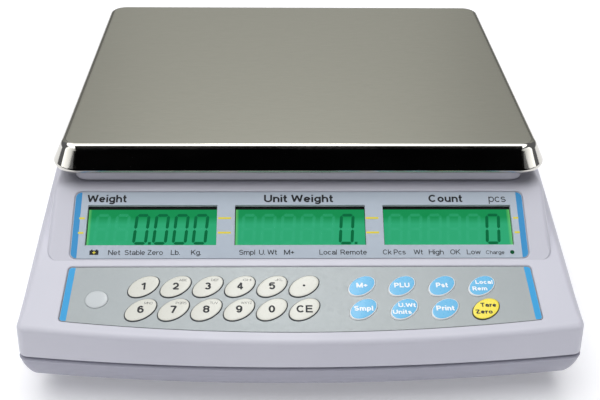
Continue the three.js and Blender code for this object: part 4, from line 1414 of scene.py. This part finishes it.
def display_mask(node, half, here):
    """The dark edge of a display, as seen within its window: the display's black frame, plus painted shade
    along the window's edges where its walls shade the glass.
    """
    left, right = Glass.mask_left - half, half - Glass.mask_right
    foot, head = Display.window_low, Display.window_high - Glass.mask_head
    out, under, over = half + Glass.overhang, foot - Glass.overhang, Display.window_high + Glass.overhang
    strips = [((-out, head), (out, over)), ((-out, under), (left, head)), ((right, under), (out, head)),
              ((left, under), (right, foot + Glass.mask_foot))]
    low, high = Display.lcd_top + Glass.mask_low, Display.lcd_top + Glass.mask_high
    pieces = [box("strip", (*start, low), (*end, high), here) for start, end in strips]
    return join_objects(f"{node}_mask", pieces)


def make_display(node, low, high, finishes):
    here = DISPLAY_SLOPE @ Matrix.Translation(((low + high) / 2, 0, 0))
    half, top, margin = (high - low) / 2, Display.lcd_top, Glass.margin
    glass = bevelled_box(f"{node}_glass", (-half - margin, Display.window_low - margin, top - Glass.depth),
                         (half + margin, Display.window_high + margin, top), Glass.bevel, here)
    side = -1 if node != "lcd_count" else 1
    dress(glass, "housing", "lcd", finishes["shadow"], backlight(f"{node}_backlight", half, side))
    for polygon in glass.data.polygons:
        polygon.material_index = 1 if polygon.normal.z > FACING_UP else 0
    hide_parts(node)
    dress(display_mask(node, half, here), "housing", "lcd", finishes["shadow"])
    lit, ghost = display_segments(*DIGITS[node])
    for name, pieces, finish in (("lit", lit, "segment"), ("unlit", ghost, "ghost")):
        piece = join_objects(f"{node}_{name}_segments", pieces)
        dress(piece, "housing", "lcd", finishes[finish])


def make_displays(finishes):
    for node, (low, high) in Display.windows.items():
        make_display(node, low, high, finishes)


# ---- Pan and carrier ----
def pan_outline(grow):
    half_y = Pan.half_y + grow
    return rounded_outline(Pan.half_x + grow, Pan.centre_y - half_y, Pan.centre_y + half_y,
                           Pan.corner_radius + grow, corner_steps=16)


def pan_section():
    """The pan's section from its underside, round the curled rim, to its top, as (grow, z)."""
    rim = Vector((Pan.flare - Pan.curl, Pan.wide_z))
    bend = Vector((-Pan.bend, Pan.top_z - Pan.bend))
    span = bend - rim
    lean = math.atan2(span.y, span.x) - math.acos((Pan.curl - Pan.bend) / span.length)

    def arc(centre, radius, start, end, steps):
        angles = [start + (end - start) * step / steps for step in range(steps + 1)]
        return [(centre.x + radius * math.cos(a), centre.y + radius * math.sin(a)) for a in angles]

    half = Pan.thickness / 2
    out = Vector((math.cos(Pan.curl_end), math.sin(Pan.curl_end)))
    section = arc(bend, Pan.bend - Pan.thickness, math.pi / 2, lean, 8)
    section += arc(rim, Pan.curl - Pan.thickness, lean, Pan.curl_end, 14)
    section += arc(rim + out * (Pan.curl - half), half, Pan.curl_end - math.pi, Pan.curl_end, 6)[1:-1]
    section += arc(rim, Pan.curl, Pan.curl_end, lean, 16)
    return section + arc(bend, Pan.bend, lean, math.pi / 2, 14)


def make_pan(finishes):
    rings = [[(x, y, z) for x, y in pan_outline(grow)] for grow, z in pan_section()]
    pan = skin("pan_pressing", rings)
    smooth(pan)
    dress(pan, "pan", "pan_steel", finishes["pan_top"], finishes["pan_skirt"])
    for polygon in pan.data.polygons:
        polygon.material_index = 0 if polygon.normal.z > FACING_UP or polygon.normal.z < Pan.underside else 1
    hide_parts("pan")


class Carrier:
    radius, fillet = 8.0, 2.0
    foot = ((0, 0.5), (0.15, 0.15), (0.5, 0.0))        # rise and inset of its lower edge
    wall, inner_radius, inner_fillet = 3, 5.0, 1.0
    # radius, and height over the tray, of the seat round each pad
    seat = ((10.4, -0.5), (12.4, -0.5), (12.4, 1.2), (12.0, 1.6), (10.8, 1.6), (10.4, 1.2))
    panels_x, panels_y = ((-88, -34), (-26, 26), (34, 88)), ((-34, 32), (46, 112))
    panel_depth = 0.8


def carrier_rings(half_x, half_y, radius, low, high, fillet):
    def outline(inset):
        return rounded_outline(half_x - inset, Pan.centre_y - half_y + inset, Pan.centre_y + half_y - inset,
                               radius - inset)

    levels = [(low + rise, inset) for rise, inset in Carrier.foot] + [(high - fillet, 0.0)]
    levels += [(high - fillet * (1 - math.sin(angle)), fillet * (1 - math.cos(angle)))
               for angle in QUARTER[1:]]
    return [[(x, y, z) for x, y in outline(inset)] for z, inset in levels]


def make_carrier(finishes):
    """The plastic tray that carries the pan, with a seat round each pad and ribs between them."""
    low, high = box_of("pan_carrier")
    half_x, half_y, wall = (high.x - low.x) / 2, (high.y - low.y) / 2, Carrier.wall
    outside = carrier_rings(half_x, half_y, Carrier.radius, low.z, high.z, Carrier.fillet)
    tray = skin("carrier_moulding", outside)
    hollow = carrier_rings(half_x - wall, half_y - wall, Carrier.inner_radius, low.z - wall, high.z - wall,
                           Carrier.inner_fillet)
    combine(tray, [skin("hollow", hollow)], "DIFFERENCE")
    seat = [(radius, high.z + rise) for radius, rise in Carrier.seat]
    pads = [centre_of(f"pan_pad_{corner}") for corner in CORNERS]
    seats = [ring_piece("seat", seat, (pad.x, pad.y)) for pad in pads]
    combine(tray, [join_objects("seats", seats)], "UNION")
    panels = [box("panel", (x0, y0, high.z - Carrier.panel_depth), (x1, y1, high.z + 3))
              for x0, x1 in Carrier.panels_x for y0, y1 in Carrier.panels_y]
    combine(tray, [join_objects("panels", panels)], "DIFFERENCE")
    smooth(tray)
    dress(tray, "platform", "case_plastic", finishes["case"])
    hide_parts("pan_carrier")


def ring_piece(name, section, centre, sides=48):
    """A closed ring about Z with the given section, anticlockwise as radius and z."""
    count = len(section)
    points = [(centre[0] + radius * math.cos(2 * math.pi * k / sides),
               centre[1] + radius * math.sin(2 * math.pi * k / sides), z) for k in range(sides)
              for radius, z in section]
    faces = []
    for k in range(sides):
        start, after = k * count, (k + 1) % sides * count
        for index in range(count):
            following = (index + 1) % count
            faces.append((start + index, after + index, after + following, start + following))
    return new_object(name, points, faces)


class Pad:
    """Rows of radius, and height over the pad's foot or its head."""
    foot = ((0, 0), (9.6, 0), (10.0, 0.4))
    head = ((9.7, -0.9), (9.0, -0.2), (8.2, 0), (3.4, 0), (2.6, -1.0), (0, -1.2))


def make_pan_pads(finishes):
    for corner in CORNERS:
        node = f"pan_pad_{corner}"
        low, high = box_of(node)
        place = centre_of(node)
        profile = [(radius, end + rise) for end, rows in ((low.z, Pad.foot), (high.z, Pad.head))
                   for radius, rise in rows]
        pad = turned(f"{node}_moulding", profile, 48, Matrix.Translation((place.x, place.y, 0)))
        smooth(pad, TURNED_ANGLE)
        dress(pad, "platform", "rubber", finishes["rubber"])
        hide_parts(node)


class LiveSpacer:
    node = "load_cell_spacer_live"
    relief = 0.45              # room for the platform's travel, since the cell's end is rigid here
    chamfer = 0.8
    hole_radius, hole_spread = 2.75, 6.5


def make_live_spacer(finishes):
    """The block between the cell's live end and the platform's frame, with its two bolt holes."""
    low, high = box_of(LiveSpacer.node)
    middle = centre_of(LiveSpacer.node)
    half_x, half_y = (high.x - low.x) / 2, (high.y - low.y) / 2

    def outline(inset):
        x, y, cut = half_x - inset, half_y - inset, LiveSpacer.chamfer
        return [(x - cut, -y), (x, cut - y), (x, y - cut), (x - cut, y), (cut - x, y), (-x, y - cut),
                (-x, cut - y), (cut - x, -y)]

    foot, chamfer = low.z + LiveSpacer.relief, LiveSpacer.chamfer
    levels = ((foot, chamfer), (foot + chamfer, 0), (high.z - chamfer, 0), (high.z, chamfer))
    rings = [[(middle.x + x, middle.y + y, z) for x, y in outline(inset)] for z, inset in levels]
    spacer = skin("live_spacer", rings)
    radius = LiveSpacer.hole_radius
    rounds = [ellipse(radius, radius, 0, 32, (middle.x, middle.y + side))
              for side in (-LiveSpacer.hole_spread, LiveSpacer.hole_spread)]
    holes = [flat_plate("bolt_hole", edge, foot - 1, high.z + 1) for edge in rounds]
    combine(spacer, [join_objects("bolt_holes", holes)], "DIFFERENCE")
    dress(spacer, "platform", "cast_aluminium", finishes["cast"])
    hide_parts(LiveSpacer.node)


# ---- Feet, sockets and switch ----
class Foot:
    rim_height = 9.1
    pad_profile = ((0, 0.5), (6.0, 0.5), (6.6, 0.0), (11.0, 0.0), (11.8, 0.5), (12.0, 1.4), (11.4, 4.0),
                   (10.8, 4.6), (10.0, 4.8), (0, 4.8))
    sides, scallops, scallop_depth = 96, 24, 0.25
    edge = ((12.4, 0, 0), (13.4, 0.5, 0.6), (13.95, 1.0, 1))       # radius, rise, share of the scallops
    collar = ((6.0, 0.0), (5.2, 0.4), (4.2, 0.4))
    pitch, thread_start, thread_end = 1.25, 0.9, 1.6
    thread = ((3.45, 0), (3.95, 0.5), (3.95, 0.62), (3.45, 1.12))
    stud_end = 3.3


def make_feet(finishes):
    for corner in CORNERS:
        place = centre_of(f"foot_wheel_{corner}")
        here = Matrix.Translation((place.x, place.y, 0))
        low, high = box_of(f"foot_wheel_{corner}")
        wheel = knurled_wheel(f"foot_wheel_{corner}_turning", low.z, Foot.rim_height, high.z, here)
        dress(wheel, f"foot_wheel_{corner}", "plated_steel", finishes["plated"])
        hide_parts(f"foot_wheel_{corner}")
        pad = turned(f"foot_pad_{corner}_moulding", Foot.pad_profile, 48, here)
        smooth(pad, TURNED_ANGLE)
        dress(pad, f"foot_pad_{corner}", "rubber", finishes["rubber"])
        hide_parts(f"foot_pad_{corner}")


def knurled_wheel(name, low, high, stud_top, place):
    """A thumb wheel with scalloped edge on a threaded stud."""
    turns = [2 * math.pi * k / Foot.sides for k in range(Foot.sides)]
    section = [(radius, low + rise, share) for radius, rise, share in Foot.edge]
    section += [(radius, high - rise, share) for radius, rise, share in reversed(Foot.edge)]
    section += [(radius, high + rise, 0) for radius, rise in Foot.collar]
    for turn in range(int((stud_top - high - Foot.thread_end) / Foot.pitch)):
        z = high + Foot.thread_start + turn * Foot.pitch
        section += [(radius, z + rise, 0) for radius, rise in Foot.thread]
    section += [(Foot.stud_end, stud_top, 0)]
    rings = []
    for radius, z, share in section:
        radii = [radius - share * Foot.scallop_depth * (1 - math.cos(a * Foot.scallops)) for a in turns]
        rings.append([(r * math.cos(a), r * math.sin(a), z) for r, a in zip(radii, turns)])
    wheel = skin(name, rings, place=place)
    return smooth(wheel, TURNED_ANGLE)


class Switch:
    x, y, pivot_z = 118.0, -10.0, 15.0
    flange_low, flange_high, flange_bevel, body_foot = 10.2, 11.7, 0.5, 0.6
    body, well, well_top = (9.2, 6.2), (7.0, 4.5), 18.0        # half sizes, and the top of the well
    tilt = 8 * DEG
    face_half, face_steps, face_dip, face_curve = 6.2, 16, 2.8, 1.7
    rocker_back = [(5.9, -1.6), (5.6, 0.0), (3.0, 0.9), (0, 1.4), (-3.0, 0.9), (-5.6, 0.0), (-5.9, -1.6)]
    rocker_bevel, bevel_angle = 0.35, 50 * DEG
    bar = [(3.2, -1.3), (3.7, -1.3), (3.7, 1.3), (3.2, 1.3)]
    ring_x, ring_outer, ring_inner, ring_steps = -3.5, (0.95, 1.25), (0.55, 0.8), 20
    mark_lift = 0.03


def outward(x, y, z):
    """A frame on the back of the case: its Z points out of the back, its X along the case."""
    return Matrix.Translation((x, y, z)) @ Matrix.Rotation(-90 * DEG, 4, "X")


class SerialPort:
    flange_y, flange_thickness, flange_radius = 167.5, 0.8, 2.0
    flare, flare_radius = ((-9.4, -4.2), (9.4, -4.2), (8.4, 4.2), (-8.4, 4.2)), 1.6
    mouth_share, mouth_floor = (0.93, 0.86), 0.5
    block_share, block_foot, block_sunk = (0.9, 0.82), 0.55, 1.2
    back, back_bevel = (10, 5), 0.4
    nut_x, nut_foot = 12.5, ((0, -0.5), (2.4, -0.5))               # radius, and height over the flange
    nut_head = ((2.4, -0.5), (2.1, -0.1), (1.3, -0.1), (1.3, -2.6), (0, -2.6))     # over the face
    contact_radius, contact_depth = 0.55, 4
    contact_rows = ((-1.4, (-5.5, -2.75, 0, 2.75, 5.5)), (1.4, (-4.1, -1.4, 1.4, 4.1)))


def make_serial_port(finishes):
    low, high = box_of("serial_port")
    middle = (low + high) / 2
    here = outward(middle.x, 0, middle.z)
    half_x, half_z = (high.x - low.x) / 2, (high.z - low.z) / 2
    flare = soft_corners(SerialPort.flare, SerialPort.flare_radius)
    make_serial_metal(finishes, here, half_x, half_z, flare, low.y, high.y)
    make_serial_insulator(finishes, here, flare, high.y)


def make_serial_metal(finishes, here, half_x, half_z, flare, back_y, face_y):
    """The flange, the flared shell, the hidden back and the two nuts."""
    flange_y = SerialPort.flange_y
    flange_back = flange_y - SerialPort.flange_thickness
    outline = rounded_outline(half_x, -half_z, half_z, SerialPort.flange_radius, corner_steps=5)
    flange = flat_plate("flange", outline, flange_back, flange_y, here)
    shell = flat_plate("shell", flare, flange_y - 1, face_y, here)
    wide, tall = SerialPort.mouth_share
    mouth = [(x * wide, y * tall) for x, y in flare]
    floor_y = flange_y + SerialPort.mouth_floor
    combine(shell, [flat_plate("mouth", mouth, floor_y, face_y + 1, here)], "DIFFERENCE")
    x, z = SerialPort.back
    back = bevelled_box("back", (-x, -z, back_y), (x, z, flange_back), SerialPort.back_bevel, here)
    metal = combine(flange, [shell, back], "UNION")
    profile = [(radius, end + rise) for end, rows in ((flange_y, SerialPort.nut_foot),
                                                      (face_y, SerialPort.nut_head)) for radius, rise in rows]
    nuts = [turned("nut", profile, 6, here @ Matrix.Translation((side * SerialPort.nut_x, 0, 0)))
            for side in (-1, 1)]
    combine(metal, nuts, "UNION")
    smooth(metal, TURNED_ANGLE)
    dress(metal, "housing", "plated_steel", finishes["plated"])
    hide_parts("serial_port")


def make_serial_insulator(finishes, here, flare, face_y):
    """The block within the shell, with a hole for each contact."""
    wide, tall = SerialPort.block_share
    inner = [(x * wide, y * tall) for x, y in flare]
    block = flat_plate("insulator", inner, SerialPort.flange_y + SerialPort.block_foot,
                       face_y - SerialPort.block_sunk, here)
    holes = [cylinder("hole", SerialPort.contact_radius, face_y - SerialPort.contact_depth, face_y + 1,
                      (x, y), 12, here) for y, xs in SerialPort.contact_rows for x in xs]
    combine(block, [join_objects("contact_holes", holes)], "DIFFERENCE")
    block.name = "serial_port_insulator"
    dress(block, "housing", "black_plastic", finishes["black"])


def soft_corners(corners, radius, steps=4):
    """A polygon, anticlockwise, with its corners rounded."""
    points = []
    count = len(corners)
    for index in range(count):
        here = Vector(corners[index])
        before = (Vector(corners[index - 1]) - here).normalized()
        after = (Vector(corners[(index + 1) % count]) - here).normalized()
        half = before.angle(after) / 2
        reach = radius / math.tan(half)
        centre = here + (before + after).normalized() * (radius / math.sin(half))
        start = here + before * reach - centre
        end = here + after * reach - centre
        sweep = start.angle(end)
        for step in range(steps + 1):
            angle = sweep * step / steps
            turn = Matrix.Rotation(angle, 2)
            points.append(tuple(centre + turn @ start))
    return points


class Jack:
    bevel = 0.6
    # radius, and height over the face
    bore = ((0, -8), (3.2, -8), (3.2, -0.5), (3.8, 0.2), (3.8, 1), (0, 1))
    pin = ((0, -8.5), (1.0, -8.5), (1.0, -1.6), (0.6, -1.0), (0, -0.9))


def make_dc_jack(finishes):
    low, high = box_of("dc_jack")
    middle = (low + high) / 2
    here = outward(middle.x, 0, middle.z)
    half_x, half_z = (high.x - low.x) / 2, (high.z - low.z) / 2
    body = bevelled_box("dc_jack_moulding", (-half_x, -half_z, low.y), (half_x, half_z, high.y), Jack.bevel,
                        here)
    bore, pin = ([(radius, high.y + z) for radius, z in rows] for rows in (Jack.bore, Jack.pin))
    combine(body, [turned("bore", bore, 40, here)], "DIFFERENCE")
    smooth(body, TURNED_ANGLE)
    dress(body, "housing", "black_plastic", finishes["black"])
    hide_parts("dc_jack")
    pin = turned("dc_jack_pin", pin, 20, here)
    smooth(pin, TURNED_ANGLE)
    dress(pin, "housing", "plated_steel", finishes["plated"])


def make_switch_body(finishes, here):
    low, high = box_of("power_switch_body")
    flange = bevelled_box("power_switch_bezel", (low.x - Switch.x, low.y - Switch.y, Switch.flange_low),
                          (high.x - Switch.x, high.y - Switch.y, Switch.flange_high),
                          Switch.flange_bevel, here)
    half_x, half_y = Switch.body
    foot_z = Switch.flange_low + Switch.body_foot
    body = box("body", (-half_x, -half_y, foot_z), (half_x, half_y, high.z), here)
    combine(flange, [body], "UNION")
    half_x, half_y = Switch.well
    well = box("well", (-half_x, -half_y, 0), (half_x, half_y, Switch.well_top), here)
    combine(flange, [well], "DIFFERENCE")
    smooth(flange, TURNED_ANGLE)
    dress(flange, "housing", "black_plastic", finishes["black"])
    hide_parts("power_switch_body")


def make_rocker(finishes, pivot):
    half, steps = Switch.face_half, Switch.face_steps
    outline = [(x, rocker_face(x)) for x in (2 * half * k / steps - half for k in range(steps + 1))]
    outline += Switch.rocker_back
    half_width = Switch.well[1] - GAP
    ends = [[(x, y, z) for x, z in outline] for y in (half_width, -half_width)]
    rocker = skin("power_rocker_moulding", ends, place=pivot)
    bevel = rocker.modifiers.new("bevel", "BEVEL")
    bevel.width = Switch.rocker_bevel * MM
    bevel.segments = BEVEL_SEGMENTS
    bevel.limit_method = "ANGLE"
    bevel.angle_limit = Switch.bevel_angle
    bake_modifiers(rocker)
    smooth(rocker, TURNED_ANGLE)
    dress(rocker, "power_rocker", "black_plastic", finishes["black"])
    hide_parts("power_rocker")


def make_rocker_marks(finishes, pivot):
    """A bar for on and a ring for off."""
    marks = [rocker_mark(Switch.bar, pivot)]
    steps = Switch.ring_steps
    for k in range(steps):
        turns = [2 * math.pi * step / steps for step in (k, k + 1)]
        outer, inner = ([(Switch.ring_x + reach_x * math.cos(a), reach_y * math.sin(a)) for a in turns]
                        for reach_x, reach_y in (Switch.ring_outer, Switch.ring_inner))
        marks.append(rocker_mark(outer + inner[::-1], pivot))
    dress(join_objects("power_rocker_marks", marks), "power_rocker", "black_plastic", finishes["white"])


def make_switch(finishes):
    """The rocker switch in the underside."""
    here = Matrix.Translation((Switch.x, Switch.y, 0))
    make_switch_body(finishes, here)
    pivot = here @ Matrix.Translation((0, 0, Switch.pivot_z)) @ Matrix.Rotation(Switch.tilt, 4, "Y")
    make_rocker(finishes, pivot)
    make_rocker_marks(finishes, pivot)


def rocker_face(x):
    return -Switch.face_dip - (abs(x) / Switch.face_half) ** Switch.face_curve


def rocker_mark(outline, pivot):
    points = [(x, y, rocker_face(x) - Switch.mark_lift) for x, y in reversed(outline)]
    return new_object("mark", points, [tuple(range(len(points)))], pivot)


# ---- CAD nodes that are shown as they are ----
KEPT = {"board": ("display_board", "main_board"), "lens": ("keypad_circuit",), "black": ("battery",),
        "cast": ("load_cell", "load_cell_spacer_fixed", "platform_spider"),
        "plated": ("chassis",), "sheath": ("keypad_ribbon", "load_cell_cable", "battery_lead")}


def finish_kept_nodes(finishes):
    for finish, nodes in KEPT.items():
        for node in nodes:
            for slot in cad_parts[node].material_slots:
                slot.material = finishes[finish]


# ---- Camera, lights and stage ----
class Camera:
    place = (-12.5, -574.4, 379.7)
    down, yaw, roll = 31.27 * DEG, 1.46 * DEG, -0.71 * DEG
    lens = 60.52


def make_camera():
    data = bpy.data.cameras.new("camera")
    data.lens = Camera.lens
    data.clip_end = 30
    camera = linked("camera", data)
    level = math.cos(Camera.down)
    forward = Vector((math.sin(Camera.yaw) * level, math.cos(Camera.yaw) * level, -math.sin(Camera.down)))
    right = Vector((math.cos(Camera.yaw), -math.sin(Camera.yaw), 0))
    up = right.cross(forward)
    turned_up = up * math.cos(Camera.roll) + right * math.sin(Camera.roll)
    turned_right = right * math.cos(Camera.roll) - up * math.sin(Camera.roll)
    matrix = Matrix((turned_right, turned_up, -forward)).transposed().to_4x4()
    matrix.translation = Vector(Camera.place) * MM
    camera.matrix_world = matrix
    bpy.context.scene.camera = camera


def area_light(name, place, target, size, power):
    data = bpy.data.lights.new(name, "AREA")
    data.shape = "RECTANGLE"
    data.size, data.size_y = size
    data.energy = power
    light = linked(name, data)
    light.location = place
    light.rotation_euler = (Vector(target) - Vector(place)).to_track_quat("-Z", "Y").to_euler()


def sun_light(name, direction, strength, spread):
    """A wide, even light that comes from a direction."""
    data = bpy.data.lights.new(name, "SUN")
    data.energy = strength
    data.angle = spread
    light = linked(name, data)
    light.rotation_euler = Vector(direction).to_track_quat("Z", "Y").to_euler()


class Light:
    """Strips in metres and watts; the canopy and the world are even light from above and all round."""
    canopy_from, canopy_strength, canopy_spread = (-0.12, 0.07, 1.0), 2.7, 80 * DEG
    strip_place, strip_target, strip_size = (1.5, -0.9, 0.5), (0, -0.1, 0.08), (0.35, 0.9)
    left_power, right_power = 1.0, 0.8
    world_colour, world_strength = (0.93, 0.94, 1.0, 1), 0.16


def make_lights():
    sun_light("overhead_canopy", Light.canopy_from, Light.canopy_strength, Light.canopy_spread)
    x, y, z = Light.strip_place
    area_light("left_strip", (-x, y, z), Light.strip_target, Light.strip_size, Light.left_power)
    area_light("right_strip", (x, y, z), Light.strip_target, Light.strip_size, Light.right_power)


def make_world():
    world = bpy.data.worlds.new("studio")
    world.use_nodes = True
    background = world.node_tree.nodes["Background"]
    background.inputs["Color"].default_value = Light.world_colour
    background.inputs["Strength"].default_value = Light.world_strength
    bpy.context.scene.world = world


def stage_card(name, corners, colour, bright, far_colour=None, along="Z"):
    """A panel that only shows in reflections: pairs of corners, each pair with the next a flat face.
    far_colour is its glow at the high end of the axis, if it isn't even."""
    faces = [(k, k + 1, k + 3, k + 2) for k in range(0, len(corners) - 2, 2)]
    card = new_object(name, corners, faces)
    finish = Finish(name, "#000000", 1.0, Specular_IOR_Level=0.0)
    low, high = (pick(corner["XYZ".index(along)] for corner in corners) * MM for pick in (min, max))
    rise = finish.remap(finish.axis(along), low, high, 0, 1)
    finish.link(finish.mix(rise, colour, far_colour or colour), finish.shader.inputs["Emission Color"])
    finish.shader.inputs["Emission Strength"].default_value = bright
    card.data.materials.append(finish.material)
    card.visible_camera = False
    card.visible_diffuse = False
    card.visible_shadow = False
    card.visible_transmission = False


class Stage:
    reach = 9000
    # half width, y and z across the dark hood, from the bench in front to above the scale
    hood = ((1500, -230, 1), (1500, -1500, 20), (620, -1250, 900), (700, -700, 1500), (700, 50, 1800))
    softbox, softbox_top, softbox_glow = ((420, -1500, 800), (1450, -250, 120)), 1300, 2.0
    softbox_near, softbox_far = "#080808", "#ffffff"
    # half width, then y and z of the near and far edges
    sheen, sheen_glow = (200, (450, 2000), (1150, 1700)), 5.6
    grey, grey_glow, grey_shades = (2800, (2400, 300), (2400, 2900)), 1.0, ("#73736f", "#a8a8a3")
    middle, middle_glow, middle_shades = (550, (2300, 500), (2300, 2700)), 1.06, ("#9e9e99", "#e4e4df")


def card_corners(half, *edges):
    return [(x, y, z) for y, z in edges for x in (-half, half)]


def make_floor():
    reach = Stage.reach
    corners = [(-reach, -reach, 0), (reach, -reach, 0), (reach, reach, 0), (-reach, reach, 0)]
    floor = new_object("floor", corners, [(0, 1, 2, 3)])
    paper = Finish("studio_paper", "#f8f8fa", 0.8, Specular_IOR_Level=0.2, Emission_Strength=0.2)
    paper.bump(paper.noise(40.0), 0.03, 0.3)
    floor.data.materials.append(paper.material)


def make_stage():
    """The bench, and the dark and bright panels that the polished parts mirror."""
    make_floor()
    hood = [(x * half, y, z) for half, y, z in Stage.hood for x in (-1, 1)]
    stage_card("dark_hood", hood, "#050506", 0.6)
    shades = (Stage.softbox_far, Stage.softbox_near)
    for name, side, ends in (("left_softbox", -1, shades), ("right_softbox", 1, shades[::-1])):
        corners = [(side * x, y, z) for x, y, low in Stage.softbox for z in (low, Stage.softbox_top)]
        stage_card(name, corners, ends[0], Stage.softbox_glow, ends[1], "X")
    stage_card("sheen_card", card_corners(*Stage.sheen), "#ffffff", Stage.sheen_glow)
    stage_card("grey_card", card_corners(*Stage.grey), Stage.grey_shades[0], Stage.grey_glow,
               Stage.grey_shades[1])
    stage_card("middle_card", card_corners(*Stage.middle), Stage.middle_shades[0], Stage.middle_glow,
               Stage.middle_shades[1])


def main():
    bpy.context.scene.view_settings.view_transform = "Standard"
    make_camera()
    finishes = make_finishes()
    for make in (make_top_cover, make_base_shell, make_battery_door, make_case_screws, make_display_overlay,
                 make_keypad_overlay, make_keys, make_level, make_displays, make_pan, make_carrier,
                 make_pan_pads, make_live_spacer, make_feet, make_serial_port, make_dc_jack, make_switch,
                 finish_kept_nodes):
        make(finishes)
    make_world()
    make_lights()
    make_stage()


main()
